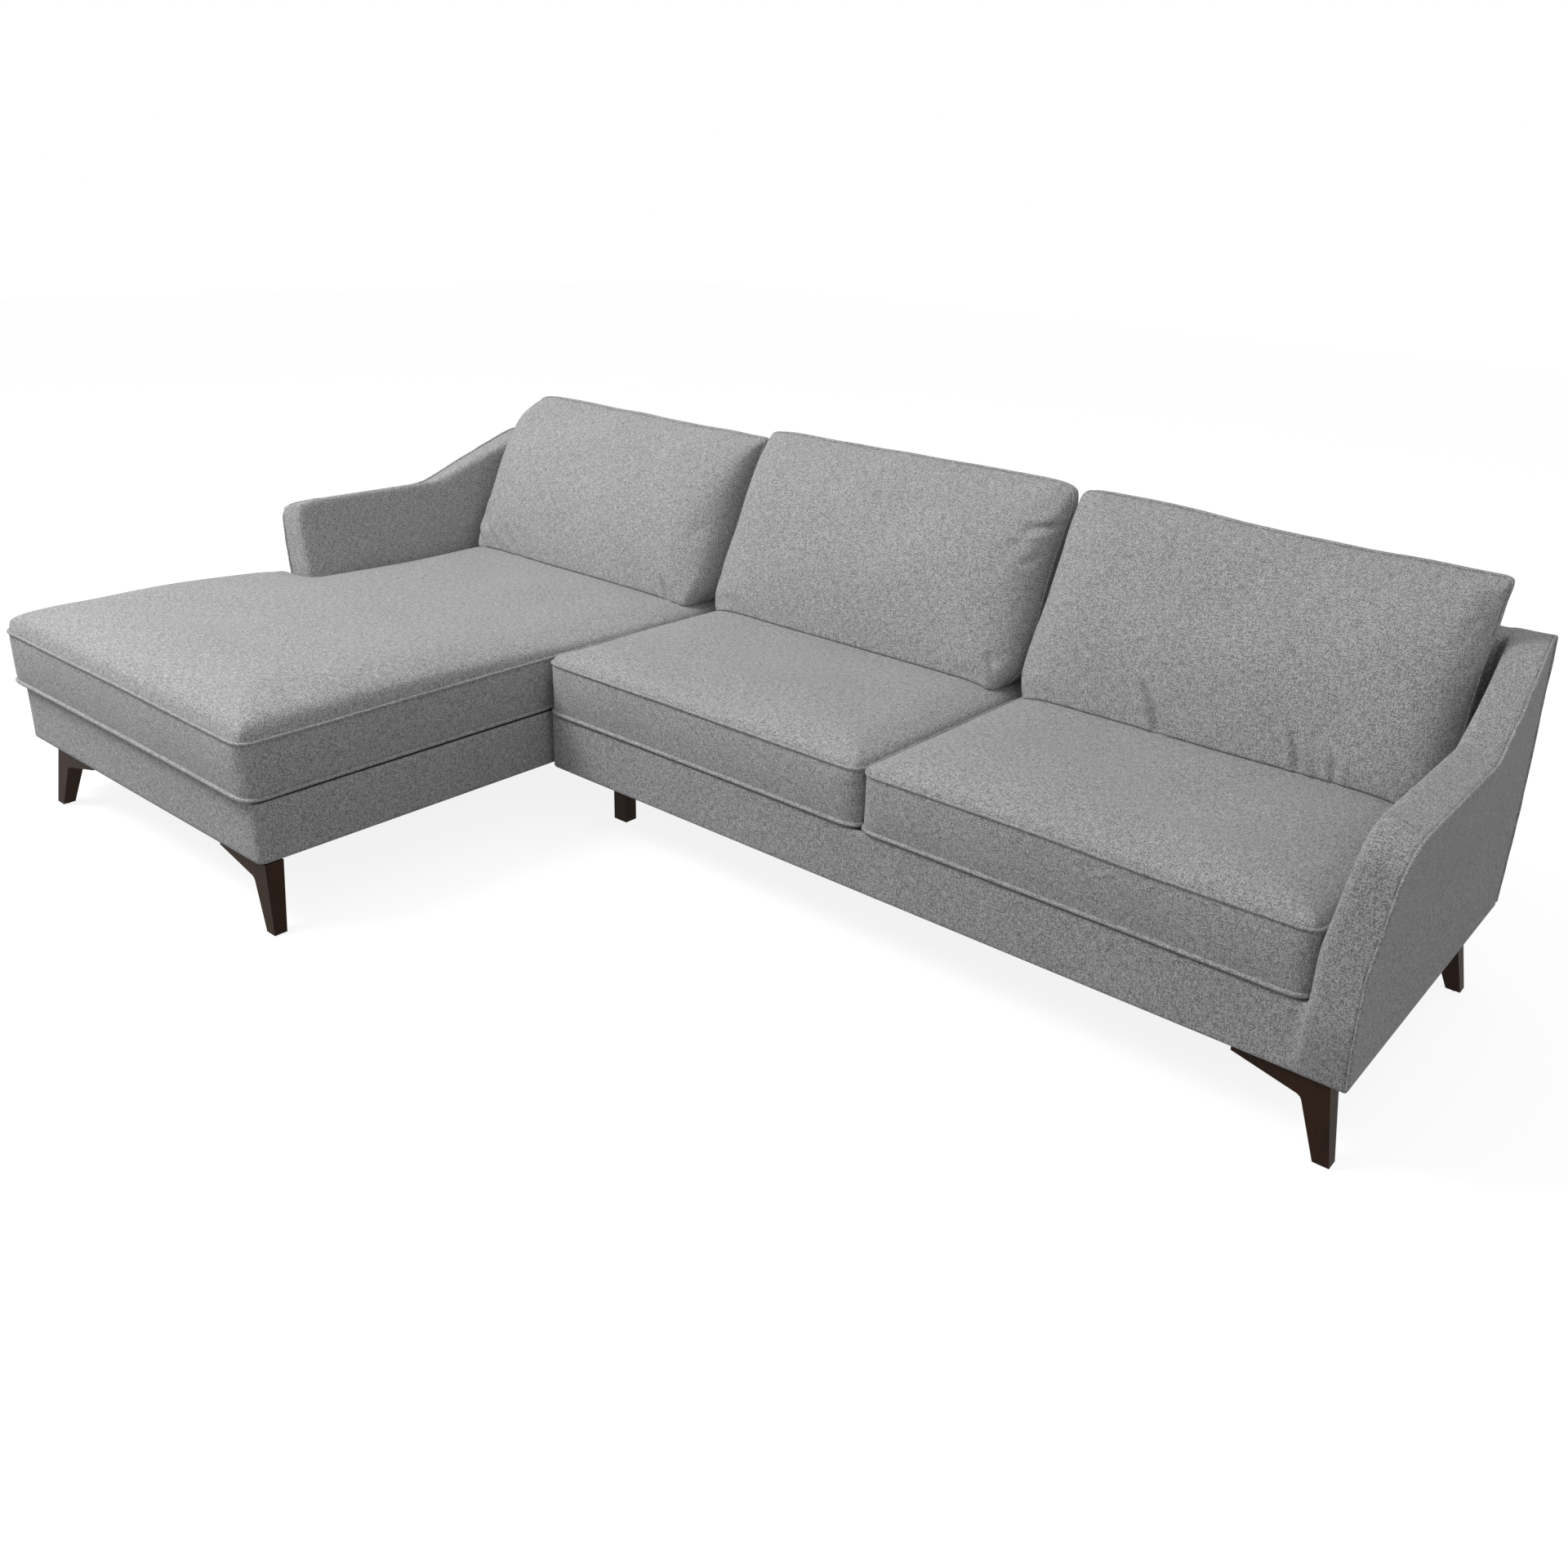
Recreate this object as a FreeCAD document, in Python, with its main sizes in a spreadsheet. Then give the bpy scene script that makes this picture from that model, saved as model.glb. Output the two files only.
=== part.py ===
import FreeCAD, Part
import math
import os
import Sketcher

# Corner sofa in two modules, in millimetres: a chaise with an arm on the left
# and a loveseat with an arm on the right, three seats wide. +X runs to the
# right as seen from the front, the front faces -Y, +Z is up. The origin is on
# the floor under the middle of the whole sofa.

doc = FreeCAD.newDocument("corner_sofa")
dims = doc.addObject("Spreadsheet::Sheet", "dims")

SIZES = {
    # Plan
    "seat_width": 945,
    "module_gap": 10,
    "base_depth": 875,
    "chaise_reach": 753,
    "chaise_nose": 12,
    "loveseat_nose": 4,
    "side_overhang": 27,
    # Base frame and its cover
    "leg_height": 152,
    "rail_height": 130,
    "rail_thickness": 24,
    "pad_thickness": 14,
    "cloth_thickness": 1,
    "webbing_thickness": 2,
    "webbing_width": 50,
    "loveseat_straps": 12,
    "chaise_straps": 11,
    "deck_thickness": 3,
    "corner_radius": 18,
    "block_side": 60,
    "block_height": 60,
    # Arms
    "arm_thickness": 88,
    "arm_flare": 27,
    "arm_inner_flare": 40,
    "arm_rear_tuck": 9,
    "arm_drop": 113,
    "arm_top_fall": 21,
    "arm_advance": 23,
    "arm_toe_height": 110,
    "arm_toe_radius": 300,
    "arm_front_radius": 62,
    "arm_knee_radius": 120,
    "arm_sweep": 325,
    "arm_crest_run": 120,
    "arm_top_radius": 90,
    "arm_waist": 390,
    "arm_padding": 28,
    "arm_board": 18,
    "arm_foot_width": 60,
    "arm_foot_height": 40,
    # Back
    "back_height": 751,
    "back_foot_thickness": 185,
    "back_top_thickness": 100,
    "back_waist": 440,
    "back_edge_radius": 22,
    "post_width": 60,
    "post_thickness": 30,
    "back_rail_height": 70,
    # Legs
    "leg_width": 44,
    "leg_depth": 42,
    "leg_setback": 10,
    "leg_splay": 28,
    "leg_lean": 12,
    "foot_width": 30,
    "foot_depth": 28,
    "wing_length": 176,
    "wing_root": 40,
    "wing_tip": 10,
    "wing_fillet": 16,
    "leg_rear_inset": 120,
    "chaise_leg_inset": 113,
    "loveseat_leg_inset": 31,
    "block_leg_width": 42,
    "block_leg_depth": 34,
    "block_leg_inset": 93,
    "block_leg_setback": 118,
    "glide_height": 3,
    "glide_radius": 10,
    "bolt_radius": 4,
    "bolt_in_leg": 25,
    "bolt_in_rail": 32,
    # Module connectors
    "plate_thickness": 2,
    "plate_width": 60,
    "plate_flange": 25,
    "plate_tongue": 28,
    "plate_offset": 4,
    "plate_play": 0.5,
    "plate_drop": 3,
    "plate_height": 175,
    "plate_place": 220,
    # Cushions
    "cushion_play": 0.5,
    "cushion_gap": 2,
    "seat_box": 132,
    "seat_rim": 7,
    "seat_crown": 35,
    "seat_shoulder": 170,
    "seat_fullness": 2.6,
    "seat_corner": 18,
    "seat_notch": 4,
    "seat_draw": 4,
    "pillow_height": 430,
    "pillow_depth": 186,
    "pillow_box": 60,
    "pillow_back_rim": 16,
    "pillow_side_shoulder": 120,
    "pillow_side_fullness": 2.6,
    "pillow_foot_shoulder": 60,
    "pillow_foot_fullness": 3,
    "pillow_face_height": 130,
    "pillow_top_fullness": 1.9,
    "pillow_corner": 40,
    "pillow_draw": 7,
    # Allowance by which a cutting block stands proud
    "overcut": 1,
}

# Sides of the bolts and the glides, and chords round a cushion's corner
BOLT_SIDES = 8
GLIDE_SIDES = 12
CORNER_CHORDS = 3

# Shares of a cushion's rise at which an outline is drawn
SEAT_SHARES = (0, 0.6, 0.9, 1)
PILLOW_SHARES = (0, 0.5, 0.8, 0.95, 1)

# A leg's blank is this many times as long as the leg is thick
BLANK = 4

# Places of one edge agree to this length
NEAR = 0.01

for row, (alias, value) in enumerate(SIZES.items(), start=1):
    dims.set("A%d" % row, alias)
    dims.set("B%d" % row, str(value))
    dims.setAlias("B%d" % row, alias)
doc.recompute()


def size(alias):
    """Expression that reads one driving dimension."""
    return "dims." + alias


def number(expression):
    """Value of an expression, for the lofted forms."""
    return float(dims.evalExpression(expression))


# Places along X, from the chaise cushion's left side to the right arm
LEFT = (
    "(0 - (dims.side_overhang + 2 * dims.arm_thickness + 3 * dims.seat_width"
    " + dims.module_gap + dims.arm_flare) / 2)"
)
CHAISE_LEFT = LEFT + " + dims.side_overhang"
CHAISE_SEAT = CHAISE_LEFT + " + dims.arm_thickness"
CHAISE_RIGHT = CHAISE_SEAT + " + dims.seat_width"
LOVESEAT_LEFT = CHAISE_RIGHT + " + dims.module_gap"
SEAT_MIDDLE = LOVESEAT_LEFT + " + dims.seat_width"
LOVESEAT_SEAT = SEAT_MIDDLE + " + dims.seat_width"
LOVESEAT_RIGHT = LOVESEAT_SEAT + " + dims.arm_thickness"

# Places along Y, from the chaise cushion's nose to the back
NOSE = "(0 - (dims.chaise_nose + dims.chaise_reach + dims.base_depth) / 2)"
CHAISE_FRONT = NOSE + " + dims.chaise_nose"
FRONT = CHAISE_FRONT + " + dims.chaise_reach"
REAR = FRONT + " + dims.base_depth"
SEAT_REAR = REAR + " - dims.back_foot_thickness"
BACK_TOP = REAR + " - dims.back_top_thickness"
ARM_CREST = REAR + " - dims.arm_crest_run"
ARM_KNEE = ARM_CREST + " - dims.arm_sweep"

# Levels
UNDERSIDE = "dims.leg_height"
RAIL_FOOT = UNDERSIDE + " + dims.cloth_thickness"
RAIL_TOP = RAIL_FOOT + " + dims.rail_height"
DECK_FOOT = RAIL_TOP + " + dims.webbing_thickness"
DECK = DECK_FOOT + " + dims.deck_thickness"
SEAT_FOOT = DECK + " + dims.cushion_play"
SEAT_WELT = SEAT_FOOT + " + dims.seat_box"
SEAT_TOP = SEAT_WELT + " + dims.seat_crown"
ARM_TOP = "(dims.back_height - dims.arm_drop)"

nodes = []


def node(label, piece):
    """Names a finished sub-part and lists it for writing."""
    piece.Label = label
    nodes.append(piece)
    return piece


def bind(piece, **expressions):
    """Binds properties of a piece to expressions; x, y and z place it."""
    for name, expression in expressions.items():
        path = "Placement.Base." + name if name in ("x", "y", "z") else name
        piece.setExpression(path, expression)
    return piece


def block(name, x, y, z, length, width, height):
    """Box from its low corner."""
    piece = doc.addObject("Part::Box", name)
    return bind(piece, x=x, y=y, z=z, Length=length, Width=width, Height=height)


def pin(name, sides, x, y, z, radius, height):
    """Upright many-sided pin from the middle of its foot."""
    piece = doc.addObject("Part::Prism", name)
    piece.Polygon = sides
    return bind(piece, x=x, y=y, z=z, Circumradius=radius, Height=height)


def cut(name, base, tools):
    """One piece less others."""
    if len(tools) == 1:
        tool = tools[0]
    else:
        tool = group(name + "_tools", tools)
    piece = doc.addObject("Part::Cut", name)
    piece.Base = base
    piece.Tool = tool
    return piece


def group(name, pieces):
    """Several like pieces as one sub-part."""
    whole = doc.addObject("Part::Compound", name)
    whole.Links = pieces
    return whole


def body(name, x="0", y="0", z="0"):
    """Empty body at a place."""
    return bind(doc.addObject("PartDesign::Body", name), x=x, y=y, z=z)


def outline(owner, name, plane, corners):
    """Closed sketch through corners, each held by two bound distances."""
    sketch = owner.newObject("Sketcher::SketchObject", name)
    faces = owner.Origin.OriginFeatures
    sketch.AttachmentSupport = [(next(f for f in faces if f.Role == plane), "")]
    sketch.MapMode = "FlatFace"
    spots = [FreeCAD.Vector(number(u), number(v), 0) for u, v in corners]
    for start, end in zip(spots, spots[1:] + spots[:1]):
        sketch.addGeometry(Part.LineSegment(start, end), False)
    for i in range(len(corners)):
        before = (i - 1) % len(corners)
        sketch.addConstraint(Sketcher.Constraint("Coincident", before, 2, i, 1))
    for i, (u, v) in enumerate(corners):
        for kind, expression in (("DistanceX", u), ("DistanceY", v)):
            held = Sketcher.Constraint(kind, -1, 1, i, 1, number(expression))
            place = sketch.addConstraint(held)
            sketch.setExpression("Constraints[%d]" % place, expression)
    return sketch


def pad(owner, name, sketch, length):
    """Prism of a sketch, half to each side of its plane."""
    solid = owner.newObject("PartDesign::Pad", name)
    solid.Profile = sketch
    solid.SideType = "Symmetric"
    solid.setExpression("Length", length)
    doc.recompute()
    return solid


def rounded(owner, name, radius, chosen):
    """Fillet of the edges of a body that a test picks."""
    doc.recompute()
    base = owner.Tip
    edges = ["Edge%d" % (i + 1) for i, edge in enumerate(base.Shape.Edges) if chosen(edge)]
    fillet = owner.newObject("PartDesign::Fillet", name)
    fillet.Base = (base, edges)
    fillet.setExpression("Radius", radius)
    doc.recompute()
    return fillet


def upright_at(x, y):
    """Test for an upright edge over one spot of its body."""
    def chosen(edge):
        first, last = edge.Vertexes[0].Point, edge.Vertexes[-1].Point
        stands = abs(first.x - last.x) < NEAR and abs(first.y - last.y) < NEAR
        return stands and abs(first.x - x) < NEAR and abs(first.y - y) < NEAR
    return chosen


def across_at(y, z):
    """Test for an edge along X through one spot of its body."""
    def chosen(edge):
        first, last = edge.Vertexes[0].Point, edge.Vertexes[-1].Point
        runs = abs(first.y - last.y) < NEAR and abs(first.z - last.z) < NEAR
        return runs and abs(first.y - y) < NEAR and abs(first.z - z) < NEAR
    return chosen


# Bases: a rail frame with blocks, a padded cover round it, webbing and a deck


def base_cover(name, left, right, front, free_corners):
    """Padded fabric band round the rails, its free upright corners rounded.

    Corners count from the front left, anticlockwise from above.
    """
    band = body(name + "_band", z=UNDERSIDE)
    plan = [(left, front), (right, front), (right, REAR), (left, REAR)]
    sketch = outline(band, name + "_plan", "XY_Plane", plan)
    solid = band.newObject("PartDesign::Pad", name + "_pad")
    solid.Profile = sketch
    solid.setExpression("Length", "%s - (%s)" % (DECK, UNDERSIDE))
    doc.recompute()
    for i in free_corners:
        x, y = plan[i]
        edge = upright_at(number(x), number(y))
        rounded(band, "%s_round_%d" % (name, i), size("corner_radius"), edge)
    inside = block(
        name + "_inside",
        left + " + dims.pad_thickness",
        front + " + dims.pad_thickness",
        "%s - dims.overcut" % UNDERSIDE,
        "(%s) - (%s) - 2 * dims.pad_thickness" % (right, left),
        "(%s) - (%s) - 2 * dims.pad_thickness" % (REAR, front),
        "%s - (%s) + 2 * dims.overcut" % (DECK, UNDERSIDE),
    )
    return node(name, cut(name + "_ring", band, [inside]))


def rail(name, x, y, length, width, bolts=()):
    """Solid wood rail, drilled for the leg bolts that end in it."""
    piece = block(name + "_stock", x, y, RAIL_FOOT, length, width, size("rail_height"))
    if bolts:
        piece = cut(name + "_drilled", piece, list(bolts))
    return node(name, piece)


def corner_block(name, x, y, turn_x, turn_y):
    """Three-cornered glue block in a corner of the frame."""
    owner = body(name, x, y, "%s + dims.block_height / 2" % RAIL_FOOT)
    plan = [
        ("0", "0"),
        ("%d * dims.block_side" % turn_x, "0"),
        ("0", "%d * dims.block_side" % turn_y),
    ]
    pad(owner, name + "_pad", outline(owner, name + "_plan", "XY_Plane", plan), size("block_height"))
    return owner


def inner(edge, sign, steps):
    """Place inside the cover by the padding and some rail thicknesses."""
    return "%s %s (dims.pad_thickness + %d * dims.rail_thickness)" % (edge, sign, steps)


def frame(name, left, right, front, bolts):
    """Four rails round a module, and its glue blocks."""
    west, east = inner(left, "+", 0), inner(right, "-", 0)
    south, north = inner(front, "+", 0), inner(REAR, "-", 0)
    along = "(%s) - (%s)" % (east, west)
    between = "(%s) - (%s)" % (inner(REAR, "-", 1), inner(front, "+", 1))
    thick = size("rail_thickness")
    rail(name + "_front_rail", west, south, along, thick, bolts.get("front", ()))
    rail(name + "_rear_rail", west, inner(REAR, "-", 1), along, thick)
    rail(name + "_left_rail", west, inner(front, "+", 1), thick, between)
    rail(name + "_right_rail", inner(right, "-", 1), inner(front, "+", 1), thick, between,
         bolts.get("right", ()))
    corners = [
        (inner(left, "+", 1), inner(front, "+", 1), 1, 1),
        (inner(right, "-", 1), inner(front, "+", 1), -1, 1),
        (inner(left, "+", 1), inner(REAR, "-", 1), 1, -1),
        (inner(right, "-", 1), inner(REAR, "-", 1), -1, -1),
    ]
    blocks = [
        corner_block("%s_glue_block_%d" % (name, i), *corner) for i, corner in enumerate(corners)
    ]
    node(name + "_corner_blocks", group(name + "_glue_blocks", blocks))


def deck(name, left, right, front):
    """Cloth platform over the webbing, inside the cover's top edge."""
    return node(name, block(
        name,
        inner(left, "+", 0),
        inner(front, "+", 0),
        DECK_FOOT,
        "(%s) - (%s)" % (inner(right, "-", 0), inner(left, "+", 0)),
        "(%s) - (%s)" % (inner(REAR, "-", 0), inner(front, "+", 0)),
        size("deck_thickness"),
    ))


def dust_cover(name, left, right, front, bolts):
    """Thin cloth under the rails, pierced by the leg bolts."""
    sheet = block(
        name + "_sheet",
        inner(left, "+", 0),
        inner(front, "+", 0),
        UNDERSIDE,
        "(%s) - (%s)" % (inner(right, "-", 0), inner(left, "+", 0)),
        "(%s) - (%s)" % (inner(REAR, "-", 0), inner(front, "+", 0)),
        size("cloth_thickness"),
    )
    return node(name, cut(name + "_pierced", sheet, bolts))


# Legs: splayed tapered feet, each with a wing along the front rail


def leg_solid(name, x, y, side, ahead):
    """Winged leg whose outer top corner stands at x, y.

    side is 1 where the foot splays to +X, ahead is -1 where it leans to -Y.
    """
    owner = body(name + "_wood", x, y)
    foot, top = size("glide_height"), UNDERSIDE
    shape = [
        ("0", top),
        ("%d * dims.leg_splay" % side, foot),
        ("%d * (dims.leg_splay - dims.foot_width)" % side, foot),
        ("%d * (0 - dims.leg_width)" % side, top + " - dims.wing_root"),
        ("%d * (0 - dims.wing_length)" % side, top + " - dims.wing_tip"),
        ("%d * (0 - dims.wing_length)" % side, top),
    ]
    front_view = outline(owner, name + "_front_view", "XZ_Plane", shape)
    pad(owner, name + "_blank", front_view, "%d * dims.leg_depth" % BLANK)
    corner = FreeCAD.Vector(-side * number(size("leg_width")), 0, number(top + " - dims.wing_root"))

    def inner_corner(edge):
        middle = edge.CenterOfMass
        return abs(middle.x - corner.x) < NEAR and abs(middle.z - corner.z) < NEAR
    rounded(owner, name + "_wing_fillet", size("wing_fillet"), inner_corner)

    wedge = body(name + "_side", x, y)
    span = [
        ("0", top),
        ("%d * dims.leg_lean" % ahead, foot),
        ("%d * (dims.leg_lean - dims.foot_depth)" % ahead, foot),
        ("%d * (0 - dims.leg_depth)" % ahead, top),
    ]
    side_view = outline(wedge, name + "_side_view", "YZ_Plane", span)
    pad(wedge, name + "_side_pad", side_view, "%d * dims.wing_length" % BLANK)
    both = doc.addObject("Part::MultiCommon", name + "_tapered")
    both.Shapes = [owner, wedge]
    return both


def leg_bolt(name, x, y):
    """Hanger bolt from a leg into the wood above it."""
    return pin(
        name, BOLT_SIDES, x, y,
        "%s - dims.bolt_in_leg" % UNDERSIDE,
        size("bolt_radius"),
        "dims.bolt_in_leg + dims.cloth_thickness + dims.bolt_in_rail",
    )


def glide(name, x, y):
    """Round glide under a foot."""
    return pin(name, GLIDE_SIDES, x, y, "0", size("glide_radius"), size("glide_height"))


# Arms: a swooping top that falls to the outside, between flared faces


def rounded_wire(corners, radii):
    """Closed flat wire through corners, each rounded to its radius."""
    arcs = []
    ends = []
    count = len(corners)
    for i, corner in enumerate(corners):
        back = (corners[i - 1] - corner).normalize()
        ahead = (corners[(i + 1) % count] - corner).normalize()
        half = back.getAngle(ahead) / 2
        reach = radii[i] / math.tan(half)
        ends.append((corner + back * reach, corner + ahead * reach))
        if radii[i]:
            bulge = (back + ahead).normalize() * (radii[i] / math.sin(half) - radii[i])
            arcs.append(Part.Arc(ends[i][0], corner + bulge, ends[i][1]).toShape())
    lines = [
        Part.LineSegment(ends[i][1], ends[(i + 1) % count][0]).toShape() for i in range(count)
    ]
    return Part.Wire(Part.__sortEdges__(arcs + lines))


def arm_outline(x, toe, foot, level):
    """Side outline of an arm at one place across it, level being its flat top.

    An arm that reaches down to the base's foot rolls back to its toe there.
    """
    front = number(FRONT + " - dims.arm_advance")
    crest = number("dims.back_height")
    corners = [
        (front, foot + number("dims.arm_toe_height"), number("dims.arm_toe_radius")),
        (front, level, number("dims.arm_front_radius")),
        (number(ARM_KNEE), level, number("dims.arm_knee_radius")),
        (number(ARM_CREST), crest, number("dims.arm_top_radius")),
        (number(REAR), crest, 0),
        (number(REAR), foot, 0),
        (toe, foot, 0),
    ]
    if toe == front:
        corners = corners[1:]
    spots = [FreeCAD.Vector(x, y, z) for y, z, radius in corners]
    return rounded_wire(spots, [radius for y, z, radius in corners])


def arm_section(inner_x, outer_x, y, foot, lean_in, lean_out):
    """Cross outline of an arm whose faces lean above its waist."""
    waist = number("dims.arm_waist")
    crest = number("dims.back_height + dims.arm_padding")
    points = [
        (inner_x, foot),
        (outer_x, foot),
        (outer_x, waist),
        (outer_x + lean_out * (crest - waist), crest),
        (inner_x + lean_in * (crest - waist), crest),
        (inner_x, waist),
    ]
    return Part.makePolygon([FreeCAD.Vector(x, y, z) for x, z in points + points[:1]])


def arm_form(name, inner_edge, side, toe_edge, foot_level):
    """Whole padded arm: a swept top between faces that flare out to the front.

    The faces keep their flare as far as the knee, then twist upright, and the
    outer one tucks in a little at the rear.
    """
    inner_x, toe, foot = number(inner_edge), number(toe_edge), number(foot_level)
    outer_x = inner_x + side * number("dims.arm_thickness")
    high = number(ARM_TOP)
    low = number(ARM_TOP + " - dims.arm_top_fall")
    top_width = number("dims.arm_thickness + dims.arm_flare - dims.arm_inner_flare")
    slope = number("dims.arm_top_fall") / top_width
    swept = Part.makeLoft([
        arm_outline(inner_x, toe, foot, high + slope * number("dims.arm_inner_flare")),
        arm_outline(outer_x + side * number("dims.arm_flare"), toe, foot, low),
    ], True, True)
    waist = number("dims.arm_waist")
    lean_in = side * number("dims.arm_inner_flare") / (high - waist)
    lean_out = side * number("dims.arm_flare") / (low - waist)
    tuck = -side * number("dims.arm_rear_tuck / (dims.back_height - dims.arm_waist)")
    front = number(FRONT + " - dims.arm_advance")
    knee = number(ARM_KNEE)
    faces = Part.makeLoft([
        arm_section(inner_x, outer_x, front, foot, lean_in, lean_out),
        arm_section(inner_x, outer_x, knee, foot, lean_in, lean_out),
        arm_section(inner_x, outer_x, number(REAR), foot, 0, tuck),
    ], True, True)
    form = doc.addObject("Part::Feature", name + "_form")
    form.Shape = swept.common(faces)
    return form


def arm_board(name, x, foot):
    """Plywood board that carries the arm's outline inside the padding."""
    owner = body(name, x)
    high = ARM_TOP + " - dims.arm_top_fall - dims.arm_padding"
    crest = "dims.back_height - dims.arm_padding"
    front = FRONT + " - dims.arm_advance + dims.arm_padding"
    shape = [
        (front, foot),
        (front, high),
        (ARM_KNEE + " + dims.arm_padding", high),
        (ARM_CREST, crest),
        (REAR + " - dims.arm_padding", crest),
        (REAR + " - dims.arm_padding", foot),
    ]
    pad(owner, name + "_pad", outline(owner, name + "_side", "YZ_Plane", shape), size("arm_board"))
    bends = [
        ("front", "dims.arm_front_radius - dims.arm_padding"),
        ("knee", size("arm_knee_radius")),
    ]
    for (label, radius), (y, z) in zip(bends, shape[1:3]):
        rounded(owner, "%s_%s" % (name, label), radius, across_at(number(y), number(z)))
    return owner


def arm(name, inner_edge, side, toe, foot, bolts):
    """Padded arm with its board and foot rail, and leg bolts where it meets them."""
    middle = "%s + %d * dims.arm_thickness / 2" % (inner_edge, side)
    place = (middle + " - dims.arm_foot_width / 2", toe + " + dims.pad_thickness")
    extent = (size("arm_foot_width"), "(%s) - (%s) - 2 * dims.pad_thickness" % (REAR, toe))
    foot_rail = block(name + "_foot_stock", *place, foot, *extent, size("arm_foot_height"))
    if bolts:
        foot_rail = cut(name + "_foot_drilled", foot_rail, bolts)
    board = arm_board(name + "_board_body", middle, foot + " + dims.arm_foot_height")
    hollow = block(
        name + "_foot_hollow", *place, foot + " - dims.pad_thickness", *extent,
        "dims.arm_foot_height + dims.pad_thickness",
    )
    node(name + "_foot_rail", foot_rail)
    node(name + "_board", board)
    form = arm_form(name, inner_edge, side, toe, foot)
    node(name + "_cover", cut(name + "_padded", form, [hollow, board]))


# Backs: a leaning padded body over posts and a top rail


def back(name, left, right, posts):
    """Padded back with its posts and top rail."""
    middle = "((%s) + (%s)) / 2" % (left, right)
    width = "(%s) - (%s)" % (right, left)
    padded = body(name + "_body", middle)
    shape = [
        (SEAT_REAR, DECK),
        (SEAT_REAR, size("back_waist")),
        (BACK_TOP, size("back_height")),
        (REAR, size("back_height")),
        (REAR, DECK),
    ]
    pad(padded, name + "_pad", outline(padded, name + "_side", "YZ_Plane", shape), width)
    for label, (y, z) in zip(("front", "rear"), shape[2:4]):
        edge = across_at(number(y), number(z))
        rounded(padded, "%s_%s_edge" % (name, label), size("back_edge_radius"), edge)

    wood_y = REAR + " - dims.pad_thickness - dims.post_thickness"
    rail_foot = "dims.back_height - dims.arm_padding - dims.back_rail_height"
    span = "((%s) - 2 * dims.pad_thickness - dims.post_width)" % width
    uprights = []
    for i in range(posts):
        place = "%s + dims.pad_thickness + %d / %d * %s" % (left, i, posts - 1, span)
        uprights.append(block(
            "%s_post_%d" % (name, i), place, wood_y, DECK,
            size("post_width"), size("post_thickness"), "%s - (%s)" % (rail_foot, DECK),
        ))
    top_rail = block(
        name + "_top_stock", left + " + dims.pad_thickness", wood_y, rail_foot,
        "%s - 2 * dims.pad_thickness" % width, size("post_thickness"), size("back_rail_height"),
    )
    wood = group(name + "_wood", uprights)
    node(name + "_posts", wood)
    node(name + "_top_rail", top_rail)
    node(name + "_cover", cut(name + "_padded", padded, uprights + [top_rail]))


# Connectors: bent plates that hook the two modules together


def connector(name, x, y, z, side, turn, offset):
    """Bent plate on a module's side, its tongue up for turn 1, down for -1."""
    owner = body(name, x, y, z)
    bend = "dims.plate_flange"
    tip = "(dims.plate_flange + dims.plate_tongue)"
    thick = "dims.plate_thickness"
    shape = [
        ("0", "0"),
        (thick, "0"),
        (thick, bend + " - " + thick),
        (offset + " + " + thick, bend + " - " + thick),
        (offset + " + " + thick, tip),
        (offset, tip),
        (offset, bend),
        ("0", bend),
    ]
    turned = [("%d * (%s)" % (side, u), "%d * (%s)" % (turn, v)) for u, v in shape]
    pad(owner, name + "_pad", outline(owner, name + "_bend", "XZ_Plane", turned), size("plate_width"))
    return owner


def connectors(name, x, z, side, turn, offset):
    """Two like plates on one module."""
    places = [FRONT + " + dims.plate_place", REAR + " - dims.plate_place"]
    plates = [
        connector("%s_plate_%d" % (name, i), x, y, z, side, turn, offset)
        for i, y in enumerate(places)
    ]
    return node(name, group(name + "_pair", plates))


# Cushions: crowned forms lofted through drawn-in outlines


def soft_ring(corners, inset, radius, draw, place):
    """Outline with rounded corners and drawn-in sides, laid out by place.

    A corner that turns inwards is nearly sharp, to clear what stands in it.
    """
    count = len(corners)
    spots = [FreeCAD.Vector(u, v, 0) for u, v in corners]
    runs = [(spots[(i + 1) % count] - spots[i]).normalize() for i in range(count)]
    inward = [FreeCAD.Vector(-run.y, run.x, 0) for run in runs]
    bends = []
    for i in range(count):
        corner = spots[i] + (inward[i - 1] + inward[i]) * inset
        outer = runs[i - 1].cross(runs[i]).z > 0
        turn, bend = (1, radius) if outer else (-1, number("dims.seat_notch"))
        centre = corner + (inward[i - 1] + inward[i]) * bend * turn
        first, last = corner - runs[i - 1] * bend - centre, corner + runs[i] * bend - centre
        angles = [math.pi / 2 * chord / CORNER_CHORDS for chord in range(CORNER_CHORDS + 1)]
        bends.append([centre + first * math.cos(a) + last * math.sin(a) for a in angles])
    edges = []
    for i, bend in enumerate(bends):
        for start, end in zip(bend, bend[1:]):
            edges.append(Part.LineSegment(place(start), place(end)).toShape())
        start, end = bend[-1], bends[(i + 1) % count][0]
        waist = (start + end) / 2 + inward[i] * draw
        edges.append(Part.Arc(place(start), place(waist), place(end)).toShape())
    return Part.Wire(edges)


def drawn_in(reach, share, fullness):
    """How far a crowned face lies inside its rim at a share of its rise.

    fullness is 2 for an ellipse and more where the shoulder is fuller.
    """
    return reach * (1 - (1 - share ** fullness) ** (1 / fullness))


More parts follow.
